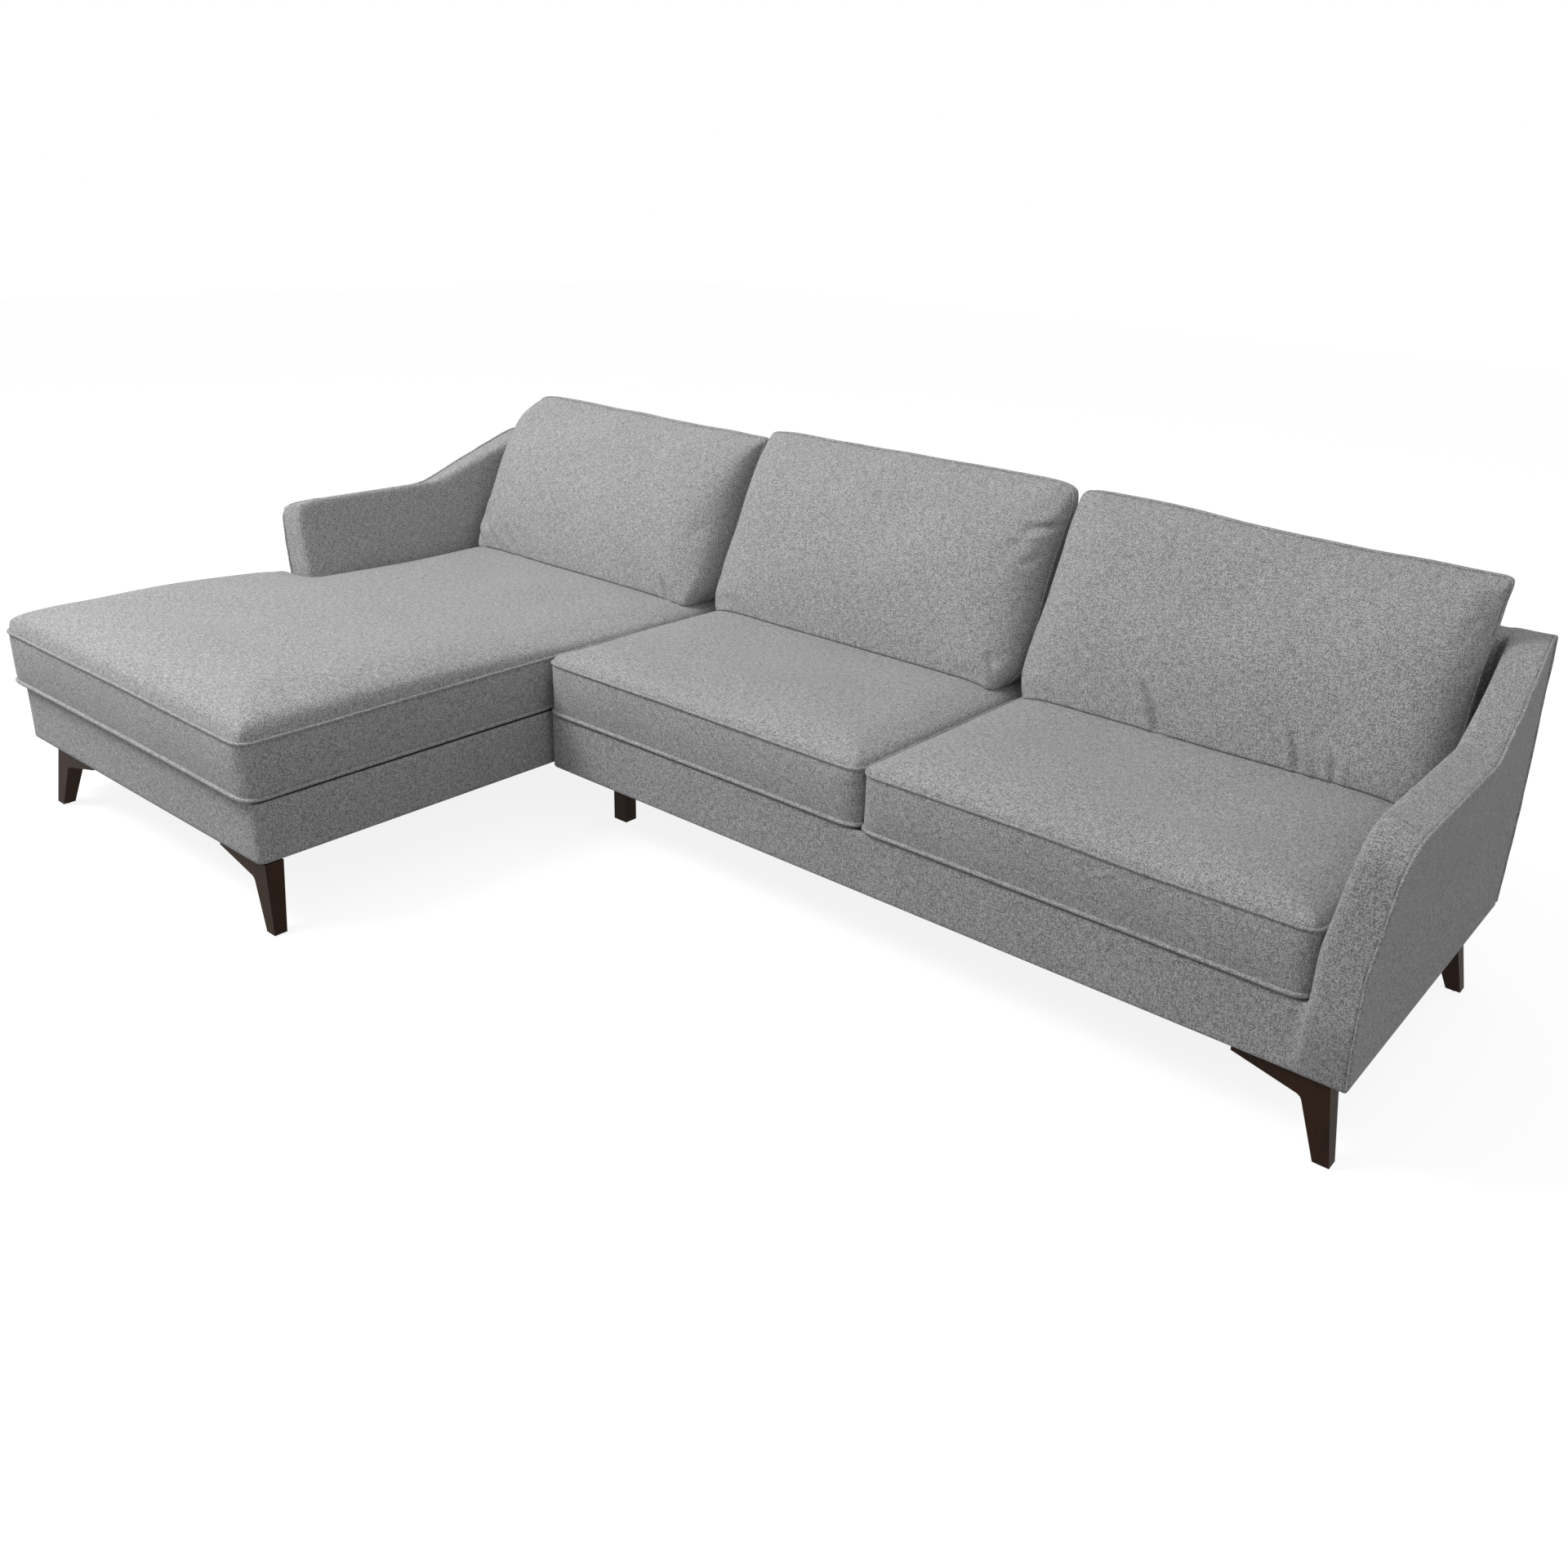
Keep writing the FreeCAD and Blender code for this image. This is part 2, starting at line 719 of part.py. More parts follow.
def seat_cushion(name, corners):
    """Boxed seat cushion with a crown, over a plan outline."""
    foot, box = number(SEAT_FOOT), number("dims.seat_box")
    rim, crown = number("dims.seat_rim"), number("dims.seat_crown")
    reach, fullness = number("dims.seat_shoulder"), number("dims.seat_fullness")
    levels = [(rim, 0), (0, rim), (0, box - rim)]
    for share in SEAT_SHARES:
        levels.append((drawn_in(reach, share, fullness), box + share * crown))
    plan = [(number(x), number(y)) for x, y in corners]
    rings = []
    for inset, rise in levels:
        def place(spot, level=foot + rise):
            return FreeCAD.Vector(spot.x, spot.y, level)
        radius = number("dims.seat_corner")
        rings.append(soft_ring(plan, inset, radius, number("dims.seat_draw"), place))
    form = doc.addObject("Part::Feature", name)
    form.Shape = Part.makeLoft(rings, True, True)
    return node(name, form)


def pillow_shoulders(share):
    """Insets of the pillow's sides, foot and top at a share of its face's rise."""
    reaches = {
        "side": "dims.pillow_side_shoulder",
        "foot": "dims.pillow_foot_shoulder",
        "top": "dims.pillow_height - dims.pillow_foot_shoulder - dims.pillow_face_height",
    }
    return [
        drawn_in(number(reach), share, number("dims.pillow_%s_fullness" % part))
        for part, reach in reaches.items()
    ]


def pillow(name, left, right):
    """Loose back cushion that leans on the back, thick at its foot, thin at its top."""
    west = number(left + " + dims.cushion_gap")
    east = number(right + " - dims.cushion_gap")
    foot = number(SEAT_TOP + " + dims.cushion_play")
    run = number("dims.back_foot_thickness - dims.back_top_thickness")
    lean = run / number("dims.back_height - dims.back_waist")
    rear = number(SEAT_REAR + " - dims.cushion_play") + lean * (foot - number("dims.back_waist"))
    depth, height = number("dims.pillow_depth"), number("dims.pillow_height")
    box, rim = number("dims.pillow_box"), number("dims.pillow_back_rim")
    stations = [([rim] * 3, 0), ([0] * 3, rim)]
    for share in PILLOW_SHARES:
        stations.append((pillow_shoulders(share), box + share * (depth - box)))
    rings = []
    for (side_inset, foot_inset, top_inset), ahead in stations:
        def place(spot, ahead=ahead):
            return FreeCAD.Vector(spot.x, rear + spot.y * lean - ahead, foot + spot.y)
        low, high = foot_inset, height - top_inset
        corners = [
            (west + side_inset, low),
            (east - side_inset, low),
            (east - side_inset, high),
            (west + side_inset, high),
        ]
        radius = number("dims.pillow_corner")
        rings.append(soft_ring(corners, 0, radius, number("dims.pillow_draw"), place))
    form = doc.addObject("Part::Feature", name)
    form.Shape = Part.makeLoft(rings, True, True)
    return node(name, form)


# Legs in their places, with bolts and glides

BOLT_LINE = "dims.pad_thickness + dims.rail_thickness / 2"
REAR_LEGS = REAR + " - dims.leg_rear_inset"


def winged_leg(name, x, y, side, ahead, bolt_x, bolt_y):
    """Winged leg with its bolt and glide."""
    bolt = leg_bolt(name + "_bolt", bolt_x, bolt_y)
    node("leg_" + name, cut(name + "_bored", leg_solid(name, x, y, side, ahead), [bolt]))
    foot_x = "%s + %d * (dims.leg_splay - dims.foot_width / 2)" % (x, side)
    foot_y = "%s + %d * (dims.leg_lean - dims.foot_depth / 2)" % (y, ahead)
    return bolt, glide(name + "_glide", foot_x, foot_y)


def block_leg(name, x, y):
    """Plain leg near the joint of the modules, from its low corner."""
    middle_x = x + " + dims.block_leg_width / 2"
    middle_y = y + " + dims.block_leg_depth / 2"
    bolt = leg_bolt(name + "_bolt", middle_x, middle_y)
    wood = block(
        name + "_wood", x, y, size("glide_height"),
        size("block_leg_width"), size("block_leg_depth"), UNDERSIDE + " - dims.glide_height",
    )
    node("leg_" + name, cut(name + "_bored", wood, [bolt]))
    return bolt, glide(name + "_glide", middle_x, middle_y)


def leg_block(name, left, y, length, bolt):
    """Block beside the left rail that takes a leg bolt."""
    wood = block(
        name, inner(left, "+", 1), y, RAIL_FOOT, length, size("block_side"), size("block_height"),
    )
    return cut(name + "_drilled", wood, [bolt])


def straps(name, count, axis, west, east):
    """Webbing stretched over the rails, side by side along axis."""
    south, north = inner(CHAISE_FRONT if axis == "y" else FRONT, "+", 0), inner(REAR, "-", 0)
    low, high = (west, east) if axis == "x" else (south, north)
    bands = []
    for i in range(count):
        place = "%s + %s * ((%s) - (%s)) - dims.webbing_width / 2" % (
            low, "(2 * %d + 1) / %d" % (i, 2 * count), high, low,
        )
        wide = size("webbing_width")
        along_x = (place, south, wide, "(%s) - (%s)" % (north, south))
        along_y = (west, place, "(%s) - (%s)" % (east, west), wide)
        x, y, length, width = along_x if axis == "x" else along_y
        thick = size("webbing_thickness")
        bands.append(block("%s_%d" % (name, i), x, y, RAIL_TOP, length, width, thick))
    return node(name, group(name + "_straps", bands))


# The chaise

chaise_west = CHAISE_LEFT + " + dims.chaise_leg_inset"
west_bolt = chaise_west + " + dims.leg_width / 2"
east_bolt = "%s - (%s)" % (CHAISE_RIGHT, BOLT_LINE)
front_leg = CHAISE_FRONT + " + dims.leg_setback"
front_bolt = "%s + %s" % (CHAISE_FRONT, BOLT_LINE)
rear_bolt = REAR_LEGS + " - dims.leg_depth / 2"
chaise_legs = [
    winged_leg("chaise_front_left", chaise_west, front_leg, -1, -1, west_bolt, front_bolt),
    winged_leg("chaise_front_right", CHAISE_RIGHT, front_leg, 1, -1, east_bolt, front_bolt),
    winged_leg("chaise_rear_right", CHAISE_RIGHT, REAR_LEGS, 1, 1, east_bolt, rear_bolt),
    winged_leg("chaise_rear_left", chaise_west, REAR_LEGS, -1, 1, west_bolt, rear_bolt),
]
chaise_bolts = [bolt for bolt, foot in chaise_legs]
node("chaise_leg_bolts", group("chaise_bolt_set", chaise_bolts))
node("chaise_glides", group("chaise_glide_set", [foot for bolt, foot in chaise_legs]))
frame("chaise", CHAISE_LEFT, CHAISE_RIGHT, CHAISE_FRONT,
      {"front": chaise_bolts[:2], "right": chaise_bolts[2:3]})
rail(
    "chaise_cross_rail", inner(CHAISE_LEFT, "+", 1), FRONT,
    "(%s) - (%s)" % (inner(CHAISE_RIGHT, "-", 1), inner(CHAISE_LEFT, "+", 1)),
    size("rail_thickness"),
)
node("chaise_leg_block", leg_block(
    "chaise_block", CHAISE_LEFT, REAR_LEGS + " - (dims.leg_depth + dims.block_side) / 2",
    "dims.chaise_leg_inset + dims.leg_width - dims.pad_thickness - dims.rail_thickness",
    chaise_bolts[3],
))
dust_cover("chaise_dust_cover", CHAISE_LEFT, CHAISE_RIGHT, CHAISE_FRONT, chaise_bolts)
base_cover("chaise_base_cover", CHAISE_LEFT, CHAISE_RIGHT, CHAISE_FRONT, (0, 1, 3))
straps("chaise_webbing", int(number("dims.chaise_straps")), "y",
       inner(CHAISE_LEFT, "+", 0), inner(CHAISE_RIGHT, "-", 0))
deck("chaise_deck", CHAISE_LEFT, CHAISE_RIGHT, CHAISE_FRONT)
arm("arm_left", CHAISE_SEAT, -1, FRONT + " - dims.arm_advance", DECK, [])
back("chaise_back", CHAISE_SEAT, CHAISE_RIGHT, 2)
chaise_plate = "dims.plate_height + 2 * dims.plate_flange + dims.plate_tongue + dims.plate_drop"
connectors("chaise_connectors", CHAISE_RIGHT, chaise_plate, 1, -1,
           "(dims.module_gap - dims.plate_offset + dims.plate_play)")

# The loveseat

block_x = LOVESEAT_LEFT + " + dims.block_leg_inset"
block_front = FRONT + " + dims.block_leg_setback"
block_rear = REAR_LEGS + " - dims.block_leg_depth"
loveseat_east = LOVESEAT_RIGHT + " - dims.loveseat_leg_inset"
arm_bolt = LOVESEAT_SEAT + " + dims.arm_thickness / 2"
loveseat_legs = [
    block_leg("loveseat_front_left", block_x, block_front),
    block_leg("loveseat_rear_left", block_x, block_rear),
    winged_leg("loveseat_front_right", loveseat_east, FRONT + " + dims.leg_setback",
               1, -1, arm_bolt, "%s + %s" % (FRONT, BOLT_LINE)),
    winged_leg("loveseat_rear_right", loveseat_east, REAR_LEGS, 1, 1, arm_bolt, rear_bolt),
]
loveseat_bolts = [bolt for bolt, foot in loveseat_legs]
node("loveseat_leg_bolts", group("loveseat_bolt_set", loveseat_bolts))
node("loveseat_glides", group("loveseat_glide_set", [foot for bolt, foot in loveseat_legs]))
frame("loveseat", LOVESEAT_LEFT, LOVESEAT_SEAT, FRONT, {})
rail(
    "loveseat_centre_rail", SEAT_MIDDLE + " - dims.rail_thickness / 2", inner(FRONT, "+", 1),
    size("rail_thickness"), "(%s) - (%s)" % (inner(REAR, "-", 1), inner(FRONT, "+", 1)),
)
block_length = "dims.block_leg_inset + dims.block_leg_width - dims.pad_thickness"
leg_blocks = [
    leg_block("loveseat_block_%d" % i, LOVESEAT_LEFT,
              y + " - (dims.block_side - dims.block_leg_depth) / 2", block_length, bolt)
    for i, (y, bolt) in enumerate(zip((block_front, block_rear), loveseat_bolts))
]
node("loveseat_leg_blocks", group("loveseat_block_pair", leg_blocks))
dust_cover("loveseat_dust_cover", LOVESEAT_LEFT, LOVESEAT_SEAT, FRONT, loveseat_bolts[:2])
base_cover("loveseat_base_cover", LOVESEAT_LEFT, LOVESEAT_SEAT, FRONT, (0,))
straps("loveseat_webbing", int(number("dims.loveseat_straps")), "x",
       inner(LOVESEAT_LEFT, "+", 0), inner(LOVESEAT_SEAT, "-", 0))
deck("loveseat_deck", LOVESEAT_LEFT, LOVESEAT_SEAT, FRONT)
arm("arm_right", LOVESEAT_SEAT, 1, FRONT, UNDERSIDE, loveseat_bolts[2:])
back("loveseat_back", LOVESEAT_LEFT, LOVESEAT_SEAT, 3)
connectors("loveseat_connectors", LOVESEAT_LEFT, "dims.plate_height", -1, 1, "dims.plate_offset")

# Seat cushions and back cushions

behind_arm = FRONT + " - dims.arm_advance - dims.cushion_gap"
seat_rear = SEAT_REAR + " - dims.cushion_gap"
seat_cushion("chaise_seat_cushion", [
    (LEFT, NOSE),
    (CHAISE_RIGHT + " - dims.cushion_gap", NOSE),
    (CHAISE_RIGHT + " - dims.cushion_gap", seat_rear),
    (CHAISE_SEAT + " + dims.cushion_gap", seat_rear),
    (CHAISE_SEAT + " + dims.cushion_gap", behind_arm),
    (LEFT, behind_arm),
])
seat_edges = [
    ("left", LOVESEAT_LEFT, SEAT_MIDDLE),
    ("right", SEAT_MIDDLE, LOVESEAT_SEAT),
]
for label, west, east in seat_edges:
    seat_cushion("seat_cushion_" + label, [
        (west + " + dims.cushion_gap", FRONT + " - dims.loveseat_nose"),
        (east + " - dims.cushion_gap", FRONT + " - dims.loveseat_nose"),
        (east + " - dims.cushion_gap", seat_rear),
        (west + " + dims.cushion_gap", seat_rear),
    ])
pillow("back_cushion_left", CHAISE_SEAT, CHAISE_RIGHT)
pillow("back_cushion_middle", LOVESEAT_LEFT, SEAT_MIDDLE)
pillow("back_cushion_right", SEAT_MIDDLE, LOVESEAT_SEAT)

# Check every object, then write each sub-part

doc.recompute()
faults = [
    "%s: %s" % (item.Label, ", ".join(item.State)) for item in doc.Objects
    if "Invalid" in item.State or "Error" in item.State
]
for piece in nodes:
    if piece.Shape.isNull() or not piece.Shape.isValid() or not piece.Shape.Solids:
        faults.append(piece.Label + ": shape is empty or not valid")
if faults:
    raise RuntimeError("\n".join(faults))
os.makedirs("parts", exist_ok=True)
for piece in nodes:
    piece.Shape.exportStep("parts/%s.step" % piece.Label)
print("%d sub-parts written" % len(nodes))
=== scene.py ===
import math

import bmesh
import bpy
import numpy as np
from mathutils import Matrix, Vector
from mathutils.bvhtree import BVHTree


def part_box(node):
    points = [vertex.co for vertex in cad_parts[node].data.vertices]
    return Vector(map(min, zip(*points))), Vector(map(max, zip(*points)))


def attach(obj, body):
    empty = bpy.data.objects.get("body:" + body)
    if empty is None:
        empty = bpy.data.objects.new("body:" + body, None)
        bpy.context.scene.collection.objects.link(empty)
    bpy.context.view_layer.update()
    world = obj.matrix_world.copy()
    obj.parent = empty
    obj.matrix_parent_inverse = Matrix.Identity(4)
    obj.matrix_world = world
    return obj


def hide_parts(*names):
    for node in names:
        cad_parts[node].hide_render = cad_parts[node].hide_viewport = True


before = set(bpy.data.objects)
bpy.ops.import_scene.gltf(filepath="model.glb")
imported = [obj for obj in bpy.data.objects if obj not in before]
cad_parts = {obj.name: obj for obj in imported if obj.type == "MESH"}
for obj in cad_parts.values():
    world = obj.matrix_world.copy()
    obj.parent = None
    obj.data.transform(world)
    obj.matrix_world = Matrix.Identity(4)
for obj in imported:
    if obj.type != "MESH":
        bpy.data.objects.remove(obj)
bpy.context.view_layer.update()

scene = bpy.context.scene
scene.view_settings.view_transform = "Standard"

# Camera: the photograph's place, turn, tilt and roll, in metres and radians

CAMERA_PLACE = Vector((2.0039, -2.0791, 1.503))
CAMERA_YAW, CAMERA_PITCH, CAMERA_ROLL = 0.6505, 0.3832, 0.0486
PHOTO_SIZE = 1920
FOCAL_LENGTH = 1697.57
OPTICAL_CENTRE = (1048.0, 910.3)


def make_camera():
    """Camera that sees the sofa as the photograph does."""
    data = bpy.data.cameras.new("camera")
    data.sensor_width = 36
    data.lens = FOCAL_LENGTH / PHOTO_SIZE * data.sensor_width
    data.shift_x = 0.5 - OPTICAL_CENTRE[0] / PHOTO_SIZE
    data.shift_y = OPTICAL_CENTRE[1] / PHOTO_SIZE - 0.5
    camera = bpy.data.objects.new("camera", data)
    level = Vector((-math.sin(CAMERA_YAW), math.cos(CAMERA_YAW), 0))
    ahead = level * math.cos(CAMERA_PITCH) - Vector((0, 0, math.sin(CAMERA_PITCH)))
    right = Vector((math.cos(CAMERA_YAW), math.sin(CAMERA_YAW), 0))
    up = right.cross(ahead)
    turned_right = right * math.cos(CAMERA_ROLL) + up * math.sin(CAMERA_ROLL)
    turned_up = up * math.cos(CAMERA_ROLL) - right * math.sin(CAMERA_ROLL)
    turn = Matrix((turned_right, turned_up, -ahead)).transposed()
    camera.matrix_world = Matrix.Translation(CAMERA_PLACE) @ turn.to_4x4()
    scene.collection.objects.link(camera)
    scene.camera = camera


make_camera()

# Meshes: making, reading and moving points


def add_mesh(name, mesh):
    """Object of a mesh, shaded smooth."""
    mesh.shade_smooth()
    piece = bpy.data.objects.new(name, mesh)
    scene.collection.objects.link(piece)
    return piece


def points_of(mesh):
    """Points of a mesh as rows."""
    flat = np.empty(len(mesh.vertices) * 3)
    mesh.vertices.foreach_get("co", flat)
    return flat.reshape(-1, 3)


def set_points(mesh, points):
    """Moves the points of a mesh."""
    mesh.vertices.foreach_set("co", points.ravel())
    mesh.update()


def remeshed(name, mesh, voxel):
    """Even closed mesh round another one."""
    holder = bpy.data.objects.new(name + "_source", mesh)
    scene.collection.objects.link(holder)
    modifier = holder.modifiers.new("even", "REMESH")
    modifier.mode = "VOXEL"
    modifier.voxel_size = voxel
    graph = bpy.context.evaluated_depsgraph_get()
    even = bpy.data.meshes.new_from_object(holder.evaluated_get(graph))
    bpy.data.objects.remove(holder)
    even.name = name
    return even


def neighbour_mean(mesh, points):
    """Mean place of each point's neighbours."""
    ends = np.empty(len(mesh.edges) * 2, int)
    mesh.edges.foreach_get("vertices", ends)
    one, other = ends.reshape(-1, 2).T
    count = len(points)
    degree = np.bincount(one, minlength=count) + np.bincount(other, minlength=count)
    total = np.empty_like(points)
    for axis in range(3):
        total[:, axis] = np.bincount(one, points[other, axis], count)
        total[:, axis] += np.bincount(other, points[one, axis], count)
    return total / np.maximum(degree, 1)[:, None]


def smooth_points(mesh, rounds, weight=0.5):
    """Evens a mesh out; weight may be one number for each point."""
    points = points_of(mesh)
    share = np.broadcast_to(weight, len(points))[:, None]
    for _ in range(rounds):
        points += (neighbour_mean(mesh, points) - points) * share
    set_points(mesh, points)


def smoothstep(low, high, value):
    """0 below low, 1 above high, and smooth between."""
    share = np.clip((value - low) / (high - low), 0, 1)
    return share * share * (3 - 2 * share)


OCTAVES, WAVES = 2, 6


def ripple(points, wavelength, seed):
    """Smooth unrepeating field of about -1 to 1 over points."""
    random = np.random.default_rng(seed)
    field = np.zeros(len(points))
    for octave in range(OCTAVES):
        for _ in range(WAVES):
            way = random.normal(size=3)
            way *= 2 * math.pi * 2 ** octave / (wavelength * np.linalg.norm(way))
            phase = random.uniform(0, 2 * math.pi)
            field += np.sin(points @ way + phase) / (WAVES ** 0.5 * 2 ** octave)
    return field / OCTAVES


def surface_tree(piece):
    """Search tree over a piece's surface."""
    return BVHTree.FromPolygons(
        [vertex.co for vertex in piece.data.vertices],
        [face.vertices for face in piece.data.polygons],
    )


# Outlines and closed forms of cushions, in metres

OUTLINE_STEP, CORNER_STEPS = 0.01, 6
LINE_CHUNK = 4000
# Least values that are divided by, in metres and square metres
LEAST_GAP, LEAST_MOVE, LEAST_SPAN, LEAST_SQUARE = 1e-4, 1e-9, 1e-6, 1e-12


def rectangle(low, high):
    """Corners of a box's plan, anticlockwise."""
    return [(low.x, low.y), (high.x, low.y), (high.x, high.y), (low.x, high.y)]


def soft_outline(corners, radius, notch, draw):
    """Points round a plan with rounded corners and drawn-in sides, anticlockwise.

    The notch is the radius of a corner that turns inwards.
    """
    spots = [np.array(corner, float) for corner in corners]
    count = len(spots)
    runs = [spots[(i + 1) % count] - spots[i] for i in range(count)]
    runs = [run / np.linalg.norm(run) for run in runs]
    ends = []
    for i in range(count):
        cross = runs[i - 1][0] * runs[i][1] - runs[i - 1][1] * runs[i][0]
        bend = radius if cross > 0 else notch
        ends.append((spots[i] - runs[i - 1] * bend, spots[i] + runs[i] * bend))
    line = []
    for i in range(count):
        start, end = ends[i]
        for share in np.linspace(0, 1, CORNER_STEPS + 1)[:-1]:
            bent = (1 - share) ** 2 * start + 2 * share * (1 - share) * spots[i]
            line.append(bent + share ** 2 * end)
        following = ends[(i + 1) % count][0]
        inward = np.array((-runs[i][1], runs[i][0]))
        pieces = max(int(np.linalg.norm(following - end) / OUTLINE_STEP), 2)
        for share in np.linspace(0, 1, pieces + 1)[:-1]:
            bow = inward * draw * 4 * share * (1 - share)
            line.append(end + (following - end) * share + bow)
    return np.array(line)


def inset(outline, reach):
    """Closed anticlockwise outline moved inwards."""
    along = np.roll(outline, -1, 0) - np.roll(outline, 1, 0)
    along /= np.linalg.norm(along, axis=1)[:, None]
    return outline + reach * np.column_stack((-along[:, 1], along[:, 0]))


def prism(name, rings):
    """Closed mesh through outlines at rising levels."""
    count = len(rings[0][0])
    points = [(x, y, level) for outline, level in rings for x, y in outline]
    faces = [list(range(count))[::-1], list(range(len(points) - count, len(points)))]
    for base in range(0, len(points) - count, count):
        for i in range(count):
            j = (i + 1) % count
            faces.append([base + i, base + j, base + count + j, base + count + i])
    mesh = bpy.data.meshes.new(name)
    mesh.from_pydata(points, [], faces)
    mesh.update()
    return mesh


def distance_to(places, line):
    """Distance from places to a closed line, flat or in space."""
    start, end = line, np.roll(line, -1, axis=0)
    along = end - start
    square = np.maximum((along ** 2).sum(1), LEAST_SQUARE)
    nearest = np.empty(len(places))
    for low in range(0, len(places), LINE_CHUNK):
        offset = places[low:low + LINE_CHUNK, None, :] - start[None]
        share = np.clip((offset * along).sum(2) / square, 0, 1)
        gap = offset - share[:, :, None] * along
        nearest[low:low + LINE_CHUNK] = np.sqrt((gap ** 2).sum(2).min(1))
    return nearest


def side_distance(places, corners):
    """Distance from flat places to the sides of a plan, blended where two are near."""
    total = np.zeros(len(places))
    for start, end in zip(corners, corners[1:] + corners[:1]):
        start, end = np.array(start, float), np.array(end, float)
        along = end - start
        share = np.clip((places - start) @ along / (along @ along), 0, 1)
        gap = np.linalg.norm(places - start - share[:, None] * along, axis=1)
        total += np.maximum(gap, LEAST_GAP) ** -CORNER_BLEND
    return total ** (-1 / CORNER_BLEND)


def rise(distance, reach, fullness):
    """Share of a crown's rise at a distance inside its rim."""
    left = 1 - np.clip(distance / reach, 0, 1)
    return (1 - left ** fullness) ** (1 / fullness)


# Seat cushions, in metres

SEAT_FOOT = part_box("seat_cushion_left")[0].z
SEAT_BOX = 0.132
SEAT_WELT = SEAT_FOOT + SEAT_BOX
SEAT_SHOULDER, SEAT_FULLNESS, CORNER_BLEND = 0.16, 2.6, 3.0
SEAT_CORNER, NOTCH_CORNER, SEAT_DRAW = 0.034, 0.004, 0.004
SEAT_VOXEL = 0.010
SEAT_TUCK, SEAT_SEAM = 0.003, SEAT_FOOT + 0.009
SEAT_SWAY, SWAY_WAVELENGTH = 0.0018, 0.50
# Along y, where the front crown starts to turn into the rear one, and where it has done so
CROWN_FRONT, CROWN_REAR = -0.55, 0.25
# How near the foot, the plan's edge, the upper seam and the lower seam the cloth is held
HELD_FOOT, HELD_EDGE, HELD_WELT, HELD_SEAM = 0.004, 0.008, 0.008, 0.006


def seat_form(name, corners, front_crown, rear_crown):
    """Boxed cushion with a crown over a plan: its mesh, and its seam line."""
    line = soft_outline(corners, SEAT_CORNER, NOTCH_CORNER, SEAT_DRAW)
    rings = [(inset(line, SEAT_TUCK), SEAT_FOOT), (line, SEAT_SEAM), (line, SEAT_WELT)]
    mesh = remeshed(name, prism(name, rings), SEAT_VOXEL)
    points = points_of(mesh)
    inside = side_distance(points[:, :2], corners)
    height = np.clip((points[:, 2] - SEAT_FOOT) / SEAT_BOX, 0, 1)
    rearward = smoothstep(CROWN_FRONT, CROWN_REAR, points[:, 1])
    crown = front_crown + (rear_crown - front_crown) * rearward
    points[:, 2] += crown * rise(inside, SEAT_SHOULDER, SEAT_FULLNESS) * height ** 2
    set_points(mesh, points)
    return mesh, line


def swayed(points, seed):
    """Lets the upper seam and the crown of a seat rise and sink a little along its sides."""
    places = points * (1, 1, 0)
    share = smoothstep(SEAT_SEAM, SEAT_WELT, points[:, 2])
    sway = share * SEAT_SWAY * ripple(places, SWAY_WAVELENGTH, seed)
    return points + np.outer(sway, (0, 0, 1))


def seat_pins(mesh, line):
    """Which points of a seat cushion are held: its foot and its seams."""
    points = points_of(mesh)
    level = points[:, 2]
    edge = distance_to(points[:, :2], line) < HELD_EDGE
    seam = (np.abs(level - SEAT_WELT) < HELD_WELT) | (np.abs(level - SEAT_SEAM) < HELD_SEAM)
    return (level < SEAT_FOOT + HELD_FOOT) | (edge & seam)


# Back cushions, in metres. Laid flat, a cushion's points are (across, up, ahead of its back).

PILLOW_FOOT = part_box("back_cushion_left")[0].z
PILLOW_HEIGHT, PILLOW_BOX = 0.430, 0.090
RIM_TOP, RIM_FOOT, RIM_FALL = 0.028, 0.100, 1.1
TOP_REACH, TOP_FULLNESS = 0.34, 2.0
SIDE_REACH, FOOT_SIDE_REACH, SIDE_TURN, SIDE_FULLNESS = 0.15, 0.05, 0.22, 2.5
FOOT_ROUND, FOOT_FULLNESS, PILLOW_CORNER = 0.010, 2, 0.016
PILLOW_REAR = 0.6345
BACK_WAIST, BACK_LEAN = 0.440, 0.085 / 0.311
PILLOW_VOXEL = 0.008
# An ear is drawn out, a rounded top corner (a negative ear) and a heel at the foot are drawn in
EAR_REACH, EAR, EAR_FALL, EAR_RISE = 0.060, 0.003, 1.5, 0.3
ROUND_REACH, ROUND_RISE = 0.085, 0.8
HEEL_REACH, HEEL, HEEL_RISE = 0.075, 0.026, 0.9
WAIST_LEVEL, WAIST_REACH, WAIST_SIDE = 0.24, 0.15, 0.16
# The top sinks above a level, from its west value to its east one between two shares of its width
SINK_LEVEL, SINK_WEST, SINK_EAST = 0.20, 0.1, 0.65
TOP_WAVE, TOP_WAVELENGTH = 0.0022, 0.26
# How near the back, the underside and the rim the cloth is held
HELD_BACK, HELD_UNDER, HELD_RIM = 0.006, 0.012, 0.010
# A fold fades at its ends, lies in the front alone and has a lip on each side
FOLD_START, FOLD_LENGTH, FOLD_FADE = 0.08, 0.84, 0.7
FOLD_REAR, FOLD_FRONT = 0.012, 0.035
LIP, LIP_PLACE, LIP_WIDTH = 0.45, 2.3, 1.3


def pillow_place(points):
    """Points of a pillow laid flat, stood up against the back."""
    across, up, ahead = points.T
    rear = PILLOW_REAR + BACK_LEAN * (PILLOW_FOOT + up - BACK_WAIST)
    return np.column_stack((across, rear - ahead, PILLOW_FOOT + up))


def pillow_laid(points):
    """Points of a standing pillow, laid flat again."""
    across, along, level = points.T
    rear = PILLOW_REAR + BACK_LEAN * (level - BACK_WAIST)
    return np.column_stack((across, level - PILLOW_FOOT, rear - along))


